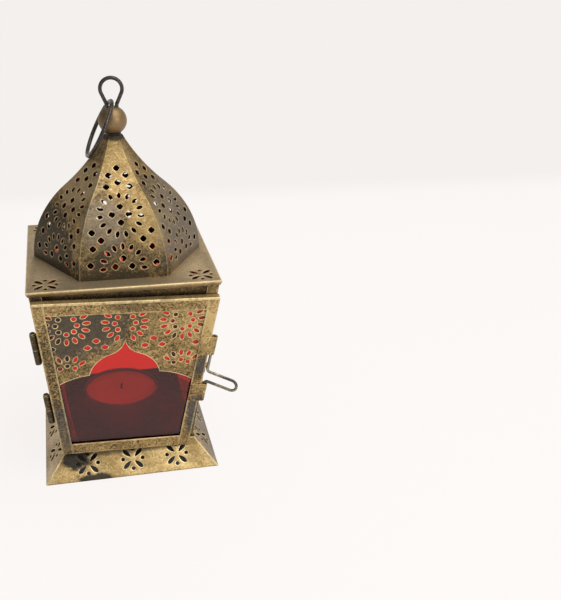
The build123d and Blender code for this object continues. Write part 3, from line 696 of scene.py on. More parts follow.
def base_brass(finish):
    """Painted light and reflection on the sides, painted shadow under the door, and a stained left corner of the
    base.
    """
    shifts = [
        (-0.08, (0.0, -0.04, 0.004), (0.06, 0.012, 0.012), 0.6),
        # Painted light and reflection on the left and right sides.
        (0.05, (-0.042, 0.0, 0.005), (0.0085, 0.045, 0.014), 0.4),
        (0.12, (0.042, 0.0, 0.005), (0.0085, 0.045, 0.014), 0.4),
    ]
    stains_and_shading = [
        # Painted light and reflection: paler grey on the left side, darker grey on the right side.
        (finish.dull_and_painted_light, 0.38, (-0.042, 0.0, 0.005), (0.0085, 0.045, 0.014), 0.3),
        (finish.ash_and_painted_light, 0.85, (0.042, 0.0, 0.005), (0.0085, 0.045, 0.014), 0.3),
    ]
    grime_and_shade = [
        # Painted shadow under the door's rail; the next two mark the stained left corner.
        (finish.dark, 0.65, (0.0, -0.0345, 0.0108), (0.036, 0.01, 0.0024), 0.4),
        (finish.stain_and_shade, 0.96, (-0.0275, -0.0365, 0.0085), (0.008, 0.01, 0.0042), 0.75),
        (finish.stain_and_shade, 0.94, (-0.0185, -0.0428, 0.0005), (0.0085, 0.006, 0.0024), 0.6),
    ]
    brass_material("base brass", finish, 0.47, shifts, stains_and_shading, grime_and_shade, mottle=0.85)


def roof_brass(finish):
    """Roof plate, dulled on top, with painted light on the right front and painted shade on the left front."""
    shifts = [
        # Painted light on the right front, painted shade on the left front.
        (-0.06, (0.036, -0.03, 0.1047), (0.03, 0.03, 0.02), 0.8),
        (0.06, (-0.036, -0.026, 0.1047), (0.02, 0.02, 0.02), 0.8),
    ]
    stains_and_shading = [
        (finish.dull_and_painted_light, 0.35, (0.0, 0.0, 0.1047), (0.07, 0.07, 0.02), 0.4),
        (finish.dull_and_painted_light, 0.25, (0.002, -0.039, 0.1047), (0.03, 0.006, 0.01), 0.5),
    ]
    brass_material("roof brass", finish, 0.46, shifts, stains_and_shading)


def dome_brass(finish):
    """Gores with a painted highlight at the front of the neck and painted light at the upper left, painted shade
    on the side gores and low front, painted reflection greying the right gores, and painted shade under the ball.
    """
    shifts = [
        # Painted highlight at the front of the neck; paler up the front gore's right edge; painted light at the
        # upper left.
        (-0.22, (0.002, -0.016, 0.154), (0.011, 0.014, 0.016), 0.5),
        (-0.1, (0.013, -0.031, 0.132), (0.009, 0.012, 0.018), 0.7),
        (-0.12, (-0.018, -0.01, 0.145), (0.012, 0.014, 0.016), 0.7),
        # Painted shade on the left gores, the low front and the right gores.
        (0.24, (-0.034, -0.015, 0.115), (0.014, 0.03, 0.02), 0.8),
        (0.14, (0.0, -0.036, 0.108), (0.03, 0.01, 0.016), 0.9),
        (0.14, (0.036, -0.012, 0.115), (0.014, 0.03, 0.02), 0.8),
    ]
    stains_and_shading = [
        (finish.ash_and_painted_light, 0.5, (-0.008, -0.033, 0.134), (0.012, 0.014, 0.016), 0.8),
        # Painted reflection greys the right gores; painted light pales the upper left.
        (finish.ash_and_painted_light, 0.6, (0.034, -0.008, 0.125), (0.022, 0.04, 0.036), 0.6),
        (finish.dull_and_painted_light, 0.2, (-0.018, -0.01, 0.145), (0.012, 0.014, 0.016), 0.6),
    ]
    # Painted shade under the ball.
    grime_and_shade = [(finish.stain_and_shade, 0.85, (0.0, 0.0, 0.1632), (0.009, 0.009, 0.0022), 0.4)]
    brass_material("dome brass", finish, 0.64, shifts, stains_and_shading, grime_and_shade, wear=0.58, mottle=0.75)


def screen_brass(finish):
    """Strongly mottled screens with a grey upper left corner."""
    shifts = [
        (-0.1, (0.028, -0.042, 0.08), (0.022, 0.02, 0.02), 0.8),
        (0.02, (-0.024, -0.04, 0.062), (0.02, 0.02, 0.012), 0.8),
    ]
    stains_and_shading = [
        (finish.grey, 0.88, (-0.024, -0.043, 0.088), (0.024, 0.02, 0.02), 0.9),
        (finish.grey, 0.12, (0.004, -0.043, 0.086), (0.012, 0.02, 0.012), 0.9),
    ]
    brass_material("screen brass", finish, 0.6, shifts, stains_and_shading, wear=1.0, mottle=1.6)


def frame_brass(finish):
    """Folded frame with rubbed straps, slate patches, and painted shade on the post tops under the roof's rim and
    beside the straps.
    """
    shifts = [
        (-0.18, (0.044, -0.046, 0.091), (0.009, 0.012, 0.02), 0.5),
        (-0.08, (0.0, -0.048, 0.097), (0.06, 0.012, 0.012), 0.8),
        (-0.09, (0.0, -0.036, 0.014), (0.03, 0.012, 0.007), 0.7),
        (-0.15, (0.037, -0.043, 0.046), (0.007, 0.012, 0.007), 0.5),
        (0.08, (-0.034, -0.04, 0.045), (0.012, 0.014, 0.045), 0.8),
        (-0.25, (0.036, -0.031, 0.024), (0.005, 0.003, 0.016), 0.4),
        (0.1, (0.032, -0.04, 0.028), (0.006, 0.0045, 0.016), 0.6),
        (-0.2, (0.0367, -0.0445, 0.082), (0.0055, 0.012, 0.009), 0.9),
        (-0.05, (0.038, -0.0431, 0.0705), (0.007, 0.012, 0.006), 0.4),
        # Darker stile between the straps: its patina, and painted shade that sets the straps off.
        (0.14, (0.0335, -0.0415, 0.0575), (0.0055, 0.012, 0.0085), 0.4),
    ]
    stains_and_shading = [
        (finish.slate, 0.8, (0.0368, -0.0435, 0.0585), (0.0046, 0.01, 0.0066), 0.6),
        # Painted shade on the post tops in the recess under the roof's rim.
        (finish.soot, 0.7, (-0.04, -0.0425, 0.1025), (0.008, 0.0024, 0.004), 0.2),
        (finish.soot, 0.55, (0.039, -0.0425, 0.1025), (0.005, 0.0024, 0.004), 0.3),
        (finish.slate, 0.55, (-0.0325, -0.039, 0.028), (0.006, 0.01, 0.014), 0.9),
        (finish.dark, 0.45, (0.004, -0.048, 0.0985), (0.014, 0.01, 0.006), 0.9),
        (finish.slate, 0.75, (0.032, -0.04, 0.026), (0.005, 0.01, 0.016), 0.9),
    ]
    brass_material("frame brass", finish, 0.6, shifts, stains_and_shading, mottle=1.6)


def hasp_wire(finish):
    """Grey wire with bright rub marks, partly painted glints, and painted dark reflections at the hairpin and at
    the lower prong.
    """
    stains_and_shading = [
        # Painted dark reflections on the hairpin and on the lower prong.
        (finish.wire, 0.8, (0.049, -0.05, 0.0535), (0.0065, 0.012, 0.005), 0.8),
        (finish.wire, 0.6, (0.0385, -0.043, 0.049), (0.0025, 0.01, 0.0025), 0.5),
    ]
    wire_material("hasp wire", finish.hasp, finish.dull_and_painted_light, 0.85, stains_and_shading)


class LANTERN_OT_finishes(bpy.types.Operator):
    """Makes the shared patina, wear and stain groups and the materials"""

    bl_idname = "lantern.finishes"
    bl_label = "Make finishes"

    def execute(self, context):
        finish = context.scene.lantern_finish
        make_patina_group()
        make_wear_group()
        make_stain_and_shading_group()
        base_brass(finish)
        roof_brass(finish)
        dome_brass(finish)
        screen_brass(finish)
        frame_brass(finish)
        brass_material("hinge brass", finish, 0.84, mottle=1.4)
        wire_material("dark wire", finish.wire, finish.mid, 0.35)
        hasp_wire(finish)
        ball_material(finish)
        glass_material(finish)
        candle_materials(finish)
        return {"FINISHED"}


class LANTERN_OT_base(bpy.types.Operator):
    """Makes the four flared panels of the base, pierced with leaf rosettes"""

    bl_idname = "lantern.base"
    bl_label = "Make base panels"

    def execute(self, context):
        body = context.scene.lantern_body
        sheets = context.scene.lantern_sheets
        slope = hypot(body.base_flare, body.base_height)
        top_half = body.base_top_half
        foot_half = top_half + body.base_flare
        holes = []
        for step in (-1, 0, 1):
            middle = (step * body.base_rosette_pitch, -body.base_rosette_drop)
            holes += leaf_rosette(middle, leaf=(0.0052, 0.0021), dot=0.002)
        seam = sheets.seam
        low = seam - slope
        high = -seam * 0.4
        corners = [(-top_half, 0), (top_half, 0), (foot_half, -slope), (-foot_half, -slope)]
        inner = [(seam - top_half, high), (top_half - seam, high)]
        inner += [(foot_half - 2 * seam, low), (2 * seam - foot_half, low)]
        for side, turn in SIDES.items():
            bm, border = punched_sheet(inner, holes, sheets)
            widen_edge(bm, border, corners)
            # Painted shade along the panel's foot.
            self.shade_foot(bm, low)
            out = Vector((0, -body.base_height, body.base_flare))
            plane = placement((0, -top_half, body.base_height), (1, 0, 0), out)
            bmesh.ops.transform(bm, matrix=Matrix.Rotation(turn, 4, "Z") @ plane, verts=bm.verts)
            solid_sheet(bm, sheets.sheet)
            self.flatten_foot(bm)
            node = f"base_panel_{side}"
            finish_piece(bm, f"pierced_{node}", LANTERN, "brass_sheet", "base brass", node)
        return {"FINISHED"}

    def shade_foot(self, bm, low):
        """Marks the strip along a flat panel's foot with painted shade instead of wear."""
        layer = worn_layer(bm)
        for face in bm.faces:
            if face.calc_center_median().y < low:
                face[layer] = -0.4

    def flatten_foot(self, bm):
        """Keeps a sheet's square-cut lower edge from dipping under the level that it stands on."""
        for vert in bm.verts:
            vert.co.z = max(vert.co.z, 0.0)


class LANTERN_OT_roof(bpy.types.Operator):
    """Makes the roof plate with its six-sided opening, corner rosettes and folded rim"""

    bl_idname = "lantern.roof"
    bl_label = "Make roof plate"

    def execute(self, context):
        body = context.scene.lantern_body
        sheets = context.scene.lantern_sheets
        fold = body.roof_fold
        flat = body.roof_half - fold
        square = [(-flat, -flat), (flat, -flat), (flat, flat), (-flat, flat)]
        spot = body.roof_half - body.roof_rosette_inset
        holes = []
        for x, y in ((-spot, -spot), (spot, -spot), (spot, spot), (-spot, spot)):
            holes += leaf_rosette((x, y), leaf=(0.0055, 0.0021), dot=0.0019)
        corner = body.roof_hole / cos(pi / 6)
        opening = [(corner * cos(k * pi / 3), corner * sin(k * pi / 3)) for k in range(6)]
        bm, border = punched_sheet(square, holes, sheets, openings=[opening], rim_share=0.6)
        edges = open_edges(bm, border)
        steps = [(fold * sin(a), fold * cos(a) - fold) for a in (pi / 8, pi / 4, 3 * pi / 8, pi / 2)]
        steps.append((fold - body.roof_tuck * 0.35, -body.roof_rim * 0.5))
        steps.append((fold - body.roof_tuck, -body.roof_rim))
        # A pale worn fold, then the rim's lower edge darkened as painted shade over the recess below it.
        wear = (1.0, 1.0, 1.0, 1.0, 0.15, -0.4)
        at = flat
        for (out, down), worn in zip(steps, wear):
            result = bmesh.ops.extrude_edge_only(bm, edges=edges)
            ring = new_verts(result)
            share = (flat + out) / at
            bmesh.ops.scale(bm, vec=(share, share, 1), verts=ring)
            for vert in ring:
                vert.co.z = down
            mark_worn(bm, result, worn)
            edges = [edge for edge in new_parts(result, bmesh.types.BMEdge) if edge.is_boundary]
            at = flat + out
        bmesh.ops.translate(bm, vec=(0, 0, body.roof_top), verts=bm.verts)
        bmesh.ops.recalc_face_normals(bm, faces=bm.faces[:])
        top = max(bm.faces, key=lambda face: face.calc_area())
        if top.normal.z < 0:
            bmesh.ops.reverse_faces(bm, faces=bm.faces[:])
        solid_sheet(bm, sheets.sheet)
        # Candle soot, and painted shade, on the roof's underside.
        mark_facing(bm, Vector((0, 0, -1)), -1.0)
        finish_piece(bm, "folded_roof_plate", LANTERN, "brass_sheet", "roof brass", "roof_plate")
        return {"FINISHED"}


class Ogee:
    """Curve of a gore: a bulging lower arc and a hollow upper arc that meet without a break"""

    def __init__(self, dome, base):
        self.dome = dome
        self.base = base
        low = dome.lower_radius
        set_in = low - (dome.apothem - dome.neck)
        lean = dome.neck_lean
        upper = dome.height**2 + set_in**2 - low**2
        self.upper = upper / (2 * (low - dome.height * sin(lean) - set_in * cos(lean)))
        self.turn = asin((dome.height + self.upper * sin(lean)) / (low + self.upper))
        self.lower_length = low * self.turn
        self.length = self.lower_length + self.upper * (self.turn - lean)

    def at(self, rise):
        """Distance from the axis, height above the roof and tilt at a distance up the curve."""
        low = self.dome.lower_radius
        if rise <= self.lower_length:
            tilt = rise / low
            return self.dome.apothem - low * (1 - cos(tilt)), low * sin(tilt), tilt
        tilt = self.turn - (rise - self.lower_length) / self.upper
        out = self.dome.apothem - low * (1 - cos(self.turn)) - self.upper * (cos(tilt) - cos(self.turn))
        return out, low * sin(self.turn) + self.upper * (sin(self.turn) - sin(tilt)), tilt

    def bend(self, point):
        """Takes a point of the flat gore to its place on the front of the dome."""
        out, up, tilt = self.at(min(max(point.y, 0.0), self.length))
        out += point.z * cos(tilt)
        return Vector((point.x, -out, self.base + up + point.z * sin(tilt)))


def gore_holes(dome):
    """Rosettes, lozenges and crown of a gore, up its curve from the roof."""
    oval, square = (0.0031, 0.0018), (0.0031, 0.0031)
    oval_point, square_point = 1.15, 1.45
    petals, core = 0.0093, 0.0038
    whole = [90 + 24 * k for k in range(15)]
    half = [90 + 24 * k for k in range(-4, 5)]
    middle, low_middle = (0, dome.rosette_rise), (0, dome.half_rosette_rise)
    holes = ring_holes(middle, petals, whole, oval, oval_point)
    holes += ring_holes(low_middle, petals, half, oval, oval_point)
    holes += ring_holes(middle, core, (0, 90, 180, 270), square, square_point)
    holes += ring_holes(low_middle, core, (0, 90, 180), square, square_point)
    singles = [(0, 0.053), (0, 0.0459)]
    pairs = [
        (0.0039, 0.0495),
        (0.0053, 0.0438),
        (0.0134, 0.0222),
        (0.0095, 0.0185),
        (0.0134, 0.0148),
        (0.0149, 0.0072),
    ]
    for side, rise in pairs:
        singles += [(side, rise), (-side, rise)]
    return holes + [Hole(x, y, 0, *square, square_point, 0) for x, y in singles]


class LANTERN_OT_dome(bpy.types.Operator):
    """Makes the six bent and pierced gores of the dome"""

    bl_idname = "lantern.dome"
    bl_label = "Make dome"

    def execute(self, context):
        dome = context.scene.lantern_dome
        sheets = context.scene.lantern_sheets
        curve = Ogee(dome, context.scene.lantern_body.roof_top)
        samples = 40
        rises = [curve.length * k / samples for k in range(samples + 1)]
        slit = 0.00005
        halves = [curve.at(rise)[0] * tan(pi / 6) - slit for rise in rises]
        right = list(zip(halves, rises))
        edge = right + [(-x, y) for x, y in reversed(right)]
        inner = [(x - sheets.seam * 0.65, y) for x, y in right]
        inner += [(-x, y) for x, y in reversed(inner)]
        holes = gore_holes(dome)
        for number in range(6):
            bm, border = punched_sheet(inner, holes, sheets, sides=12)
            widen_edge(bm, border[: samples + 1], edge[: samples + 1], share=0.5)
            widen_edge(bm, border[samples + 1 :], edge[samples + 1 :], share=0.5)
            cuts = 44
            for cut in range(1, cuts):
                geom = bm.verts[:] + bm.edges[:] + bm.faces[:]
                at = (0, curve.length * cut / cuts, 0)
                bmesh.ops.bisect_plane(bm, geom=geom, dist=1e-7, plane_co=at, plane_no=(0, 1, 0))
            for vert in bm.verts:
                vert.co = curve.bend(vert.co)
            bmesh.ops.rotate(bm, matrix=Matrix.Rotation(number * pi / 3, 3, "Z"), verts=bm.verts)
            solid_sheet(bm, sheets.sheet)
            soot_and_shade_inside(bm)
            node = f"dome_gore_{number + 1}"
            finish_piece(bm, f"pierced_{node}", LANTERN, "brass_pierced", "dome brass", node, smooth=25.0)
        return {"FINISHED"}


def arc_points(start, middle, end, count):
    """Points along the circle through three places, without the last one."""
    ax, ay = start
    bx, by = middle
    cx, cy = end
    d = 2 * (ax * (by - cy) + bx * (cy - ay) + cx * (ay - by))
    ux = ((ax**2 + ay**2) * (by - cy) + (bx**2 + by**2) * (cy - ay) + (cx**2 + cy**2) * (ay - by)) / d
    uy = ((ax**2 + ay**2) * (cx - bx) + (bx**2 + by**2) * (ax - cx) + (cx**2 + cy**2) * (bx - ax)) / d
    radius = hypot(ax - ux, ay - uy)
    first = atan2(ay - uy, ax - ux)
    last = atan2(cy - uy, cx - ux)
    turn = (last - first + pi) % (2 * pi) - pi
    angles = [first + turn * k / count for k in range(count)]
    return [(ux + radius * cos(a), uy + radius * sin(a)) for a in angles]


def arch_line(edge_at):
    """Right half of the arched window, from its tip down to where it meets the screen's edge."""
    tip, throat, waist = (0, -0.0215), (0.0026, -0.0266), (0.007, -0.0292)
    shoulder, cusp = (0.0129, -0.0332), (0.0164, -0.0404)
    lobe, lobe_end = (0.0254, -0.0426), (0.04, -0.0535)
    line = arc_points(tip, throat, waist, 8)
    line += arc_points(waist, shoulder, cusp, 12)
    for x, y in arc_points(cusp, lobe, lobe_end, 40):
        if x >= edge_at(y) - 0.0008:
            break
        line.append((x, y))
    line.append((edge_at(line[-1][1]), line[-1][1] - 0.0006))
    return line


def offset_line(line, reach):
    """Moves a line in its plane to its left by reach."""
    moved = []
    for index, (x, y) in enumerate(line):
        before = line[max(index - 1, 0)]
        after = line[min(index + 1, len(line) - 1)]
        dx, dy = after[0] - before[0], after[1] - before[1]
        size = hypot(dx, dy)
        moved.append((x - reach * dy / size, y + reach * dx / size))
    return moved


def screen_holes():
    """Rosettes, half rosettes and lozenges of a screen, measured from its middle and top."""
    oval, dot, square = (0.0033, 0.0018), (0.0021, 0.0021), (0.0033, 0.0025)
    oval_point, square_point = 1.1, 1.35
    petals, core = 0.0091, 0.0048
    pitch, drop, row = 0.0265, 0.0117, 0.0274
    reach = [270 + 24 * k for k in range(-5, 6)]
    crown = [90 + 24 * k for k in range(-2, 3)]
    dots = [270 + 45 * k for k in range(-3, 4)]
    half_dots = [45, 90, 135]
    holes = []
    for side in (-1, 0, 1):
        middle = (side * pitch, -drop)
        holes += ring_holes(middle, petals, [a for a in reach if side or a != 270], oval, oval_point)
        holes += ring_holes(middle, core, [a for a in dots if side or a != 270], dot)
    for side in (-1, 1):
        middle = (side * pitch, -drop - row)
        holes += ring_holes(middle, petals, crown, oval, oval_point)
        holes += ring_holes(middle, core, half_dots, dot)
        between = side * pitch / 2
        for x, y in ((between, -0.0209), (between - 0.004, -0.0246), (between + 0.004, -0.0246)):
            holes.append(Hole(x, y, 0, *square, square_point, 0))
        holes.append(Hole(side * 0.0332, -0.0244, 0, *square, square_point, 0))
    return holes


def screen_sheet(sheets, top_half, taper, head_gap, shift):
    """Flat arched screen, its top edge head_gap below the origin and its pattern moved aside by shift."""

    def edge_at(y):
        """Half width of the screen at a height."""
        return top_half + taper * y

    def half_arch(side):
        """Arch edge and the line a rim's width outside it, to one side of the pattern's middle."""
        arch = arch_line(lambda y: edge_at(y) - side * shift)
        inner = [(min(x, edge_at(y) - side * shift), y) for x, y in offset_line(arch, sheets.rim)]
        inner[0] = (0.0, arch[0][1] + 2.2 * sheets.rim)
        inner[-1] = (edge_at(inner[-1][1]) - side * shift, inner[-1][1])
        return [[(shift + side * x, y) for x, y in line] for line in (arch, inner)]

    right_arch, right_inner = half_arch(1)
    left_arch, left_inner = half_arch(-1)
    corners = [(edge_at(-head_gap), -head_gap), (-edge_at(-head_gap), -head_gap)]
    arch_run = left_arch[:0:-1] + right_arch
    inner_run = left_inner[:0:-1] + right_inner
    margin = 2 * sheets.rim
    holes = [hole._replace(x=hole.x + shift) for hole in screen_holes()]
    holes = [h for h in holes if abs(h.x) + h.length / 2 + margin < edge_at(h.y - h.length / 2)]
    bm, border = punched_sheet(inner_run + corners, holes, sheets)
    widen_edge(bm, border[: len(inner_run)], arch_run)
    return bm


class LANTERN_OT_screens(bpy.types.Operator):
    """Makes the pierced, arched screens of the door and of the three fixed walls"""

    bl_idname = "lantern.screens"
    bl_label = "Make screens"

    def execute(self, context):
        body = context.scene.lantern_body
        door = context.scene.lantern_door
        sheets = context.scene.lantern_sheets
        taper = (door.head_half - door.foot_half) / door.height
        top_half = door.head_half - door.pane_inset
        bm = screen_sheet(sheets, top_half, taper, door.pane_inset, door.pattern_shift)
        place = door_place(body, door, sheets.sheet) @ Matrix.Translation((0, door.height / 2, 0))
        self.fit(bm, place, sheets, DOOR, "door_screen")
        top_half = body.foot_half + body.header_foot * sin(body.lean) - body.pane_inset
        for side in WALLS:
            bm = screen_sheet(sheets, top_half, sin(body.lean), door.pane_inset, 0.0)
            place = wall_place(body, SIDES[side], sheets.sheet)
            place = place @ Matrix.Translation((0, body.header_foot, 0))
            self.fit(bm, place, sheets, LANTERN, f"wall_screen_{side}")
        return {"FINISHED"}

    def fit(self, bm, place, sheets, body, node):
        """Sets a flat screen in its place behind the frame and gives it its thickness."""
        bmesh.ops.transform(bm, matrix=place, verts=bm.verts)
        solid_sheet(bm, sheets.screen)
        soot_and_shade_inside(bm)
        finish_piece(bm, f"pierced_{node}", body, "brass_pierced", "screen brass", node)


def softened_copy(node, reach):
    """Merged copy of a solid with its outer edges rounded; the rounded strips count as worn."""
    bm = bmesh.new()
    bm.from_mesh(frame["nodes"][node].data)
    bmesh.ops.remove_doubles(bm, verts=bm.verts[:], dist=2 * WELD)
    bmesh.ops.dissolve_limit(bm, angle_limit=radians(1.5), verts=bm.verts[:], edges=bm.edges[:])
    layer = worn_layer(bm)
    sharp = radians(40)
    edges = [e for e in bm.edges if len(e.link_faces) == 2 and e.is_convex]
    edges = [e for e in edges if e.calc_face_angle() > sharp]
    result = bmesh.ops.bevel(
        bm,
        geom=edges,
        offset=reach,
        offset_type="OFFSET",
        segments=2,
        profile=0.5,
        affect="EDGES",
        clamp_overlap=True,
        material=-1,
    )
    for face in result["faces"]:
        face[layer] = 1.0
    return bm


def rub_border(bm, direction, width, share):
    """Marks a rubbed strip along the borders of the faces that look along a direction."""
    layer = worn_layer(bm)
    smallest = 1e-4
    faces = [face for face in bm.faces if face.normal.dot(direction) > 0.95 and face.calc_area() > smallest]
    result = bmesh.ops.inset_individual(bm, faces=faces, thickness=width, use_even_offset=True)
    longest = max(face.calc_area() for face in result["faces"])
    for face in result["faces"]:
        if face.calc_area() > 0.5 * longest:
            face[layer] = share


def shade_behind(bm, plane, depth, share):
    """Marks the faces that lie deeper than depth behind a plane with painted shade, by a negative wear."""
    layer = worn_layer(bm)
    to_plane = plane.inverted()
    for face in bm.faces:
        if (to_plane @ face.calc_center_median()).z < -depth:
            face[layer] = -share


def add_head_lip(bm, door, place):
    """Adds the folded lip that runs along the door's head and closes its stiles."""
    layer = worn_layer(bm)
    proud = 0.0003
    fold = 0.0005
    rise = 0.0006
    top = door.height / 2 + rise
    half = door.head_half - proud
    profile = [(top, proud - door.depth)]
    for step in range(5):
        turn = step * pi / 8
        profile.append((top - fold + fold * cos(turn), proud - fold + fold * sin(turn)))
    profile.append((top - door.lip, proud))
    verts = [bm.verts.new((-half, y, z)) for y, z in profile]
    edges = [bm.edges.new(pair) for pair in zip(verts, verts[1:])]
    result = bmesh.ops.extrude_edge_only(bm, edges=edges)
    ends = new_verts(result)
    bmesh.ops.translate(bm, vec=(2 * half, 0, 0), verts=ends)
    strips = new_parts(result, bmesh.types.BMFace)
    for face in strips:
        face.normal_update()
        face[layer] = 1.0 if face.normal.y ** 2 < 0.99 else 0.25
    if strips[0].normal.y + strips[0].normal.z < 0:
        bmesh.ops.reverse_faces(bm, faces=strips)
    bmesh.ops.transform(bm, matrix=place, verts=verts + ends)
    bmesh.ops.solidify(bm, geom=strips, thickness=rise)


class LANTERN_OT_frame(bpy.types.Operator):
    """Rounds the folded frame: floor, posts, headers, rails, door frame, hinges, straps and catch"""

    bl_idname = "lantern.frame"
    bl_label = "Make folded frame"

    def execute(self, context):
        folded = ("floor", "post", "header", "wall_rail", "door_stile", "door_rail")
        fittings = ("hinge", "hasp_strap", "latch")
        made = 0
        for body, members in frame["record"]["behaviour"]["bodies"].items():
            for node in members:
                if node.startswith(folded + fittings):
                    bm = softened_copy(node, context.scene.lantern_sheets.soft_edge)
                    if node.startswith(folded):
                        self.age(bm, node, context.scene)
                    slot = "dark_wire" if node.startswith("hinge_pin") else "brass_sheet"
                    brass = "hinge brass" if node.startswith("hinge") else "frame brass"
                    finish_piece(bm, f"folded_{node}", body, slot, brass, node)
                    made += 1
        if not made:
            raise RuntimeError("The frame has no folded pieces")
        return {"FINISHED"}

    def age(self, bm, node, scene):
        """Darkens a folded piece's inner faces with soot and painted shade, soots the floor plate, paints shade on
        the header's front and behind the door's face, and rubs the door's borders.
        """
        door = scene.lantern_door
        plane = door_place(scene.lantern_body, door, 0)
        soot_and_shade_inside(bm)
        if node == "floor_plate":
            mark_facing(bm, Vector((0, 0, 1)), -0.9)
        # Painted shade on the header's front, in the recess under the roof's rim.
        if node == "header_front":
            mark_facing(bm, Vector((0, -1, 0)), -0.66)
        if node.startswith("door"):
            back_sheet = 0.0024
            rub_border(bm, plane.col[2].to_3d(), door.worn_strip, share=0.5)
            # Painted shade on the door's faces behind its front, round the recessed pane.
            shade_behind(bm, plane, back_sheet, share=0.95)
        if node == "door_rail_top":
            add_head_lip(bm, door, plane)


def turned_shape(profile, steps):
    """Shape turned about the z axis from a line of radii and heights."""
    bm = bmesh.new()
    worn_layer(bm)
    verts = [bm.verts.new((max(x, 0.0), 0, z)) for x, z in profile]
    edges = [bm.edges.new(pair) for pair in zip(verts, verts[1:])]
    geom = verts + edges
    bmesh.ops.spin(bm, geom=geom, cent=(0, 0, 0), axis=(0, 0, 1), angle=2 * pi, steps=steps, use_merge=True)
    bmesh.ops.remove_doubles(bm, verts=bm.verts[:], dist=WELD)
    bmesh.ops.recalc_face_normals(bm, faces=bm.faces[:])
    return bm


class LANTERN_OT_ball(bpy.types.Operator):
    """Turns the finial ball with its collar and spigot"""

    bl_idname = "lantern.ball"
    bl_label = "Make finial ball"

    def execute(self, context):
        dome = context.scene.lantern_dome
        foot = context.scene.lantern_body.roof_top + dome.height
        middle = foot + dome.ball
        collar = 0.00048
        spigot, spigot_depth = 0.0029, 0.004
        low = foot - spigot_depth
        meet = asin(dome.neck / dome.ball)
        profile = [(0, low), (spigot, low), (spigot, foot), (dome.neck, foot)]
        profile.append((dome.neck, foot + collar))
        steps = 20
        turns = [meet + (pi - meet) * k / steps for k in range(steps + 1)]
        profile += [(dome.ball * sin(a), middle - dome.ball * cos(a)) for a in turns]
        bm = turned_shape(profile, 48)
        finish_piece(bm, "turned_ball", LANTERN, "brass_ball", "satin ball", "finial_ball")
        return {"FINISHED"}


class Wire:
    """A round wire that grows from its first section by straight runs and bends"""

    def __init__(self, diameter, start, direction):
        self.bm = bmesh.new()
        worn_layer(self.bm)
        self.at = Vector(start)
        self.heading = Vector(direction).normalized()
        made = bmesh.ops.create_circle(self.bm, cap_ends=True, segments=14, radius=diameter / 2)
        turn = Vector((0, 0, 1)).rotation_difference(self.heading).to_matrix().to_4x4()
        bmesh.ops.transform(self.bm, matrix=Matrix.Translation(self.at) @ turn, verts=made["verts"])
        self.edges = list({e for v in made["verts"] for e in v.link_edges})

    def run(self, reach):
        """Straight run of a given length."""
        result = bmesh.ops.extrude_edge_only(self.bm, edges=self.edges)
        step = self.heading * reach
        ring = new_verts(result)
        bmesh.ops.translate(self.bm, vec=step, verts=ring)
        self.at = self.at + step
        tips = set(ring)
        self.edges = [e for e in self.bm.edges if e.verts[0] in tips and e.verts[1] in tips]

    def bend(self, axis, radius, turn, steps):
        """Bend about an axis; the bend's centre lies to the left of the heading, seen against the axis."""
        spin_axis = Vector(axis).normalized()
        middle = self.at + spin_axis.cross(self.heading) * radius
        result = bmesh.ops.spin(
            self.bm,
            geom=self.edges,
            cent=middle,
            axis=spin_axis,
            angle=turn,
            steps=steps,
            use_duplicate=False,
        )
        self.edges = new_parts(result, bmesh.types.BMEdge, "geom_last")
        swing = Matrix.Rotation(turn, 3, spin_axis)
        self.at = middle + swing @ (self.at - middle)
        self.heading = swing @ self.heading

    def close(self):
        """Caps the end and returns the bmesh."""
        bmesh.ops.contextual_create(self.bm, geom=self.edges)
        bmesh.ops.recalc_face_normals(self.bm, faces=self.bm.faces[:])
        return self.bm


def joint_place(name):
    """Place and direction of a joint's axis."""
    joint = next(j for j in frame["joints"] if j["name"] == name)
    return Vector(joint["pos_m"]), Vector(joint["axis"]).normalized()


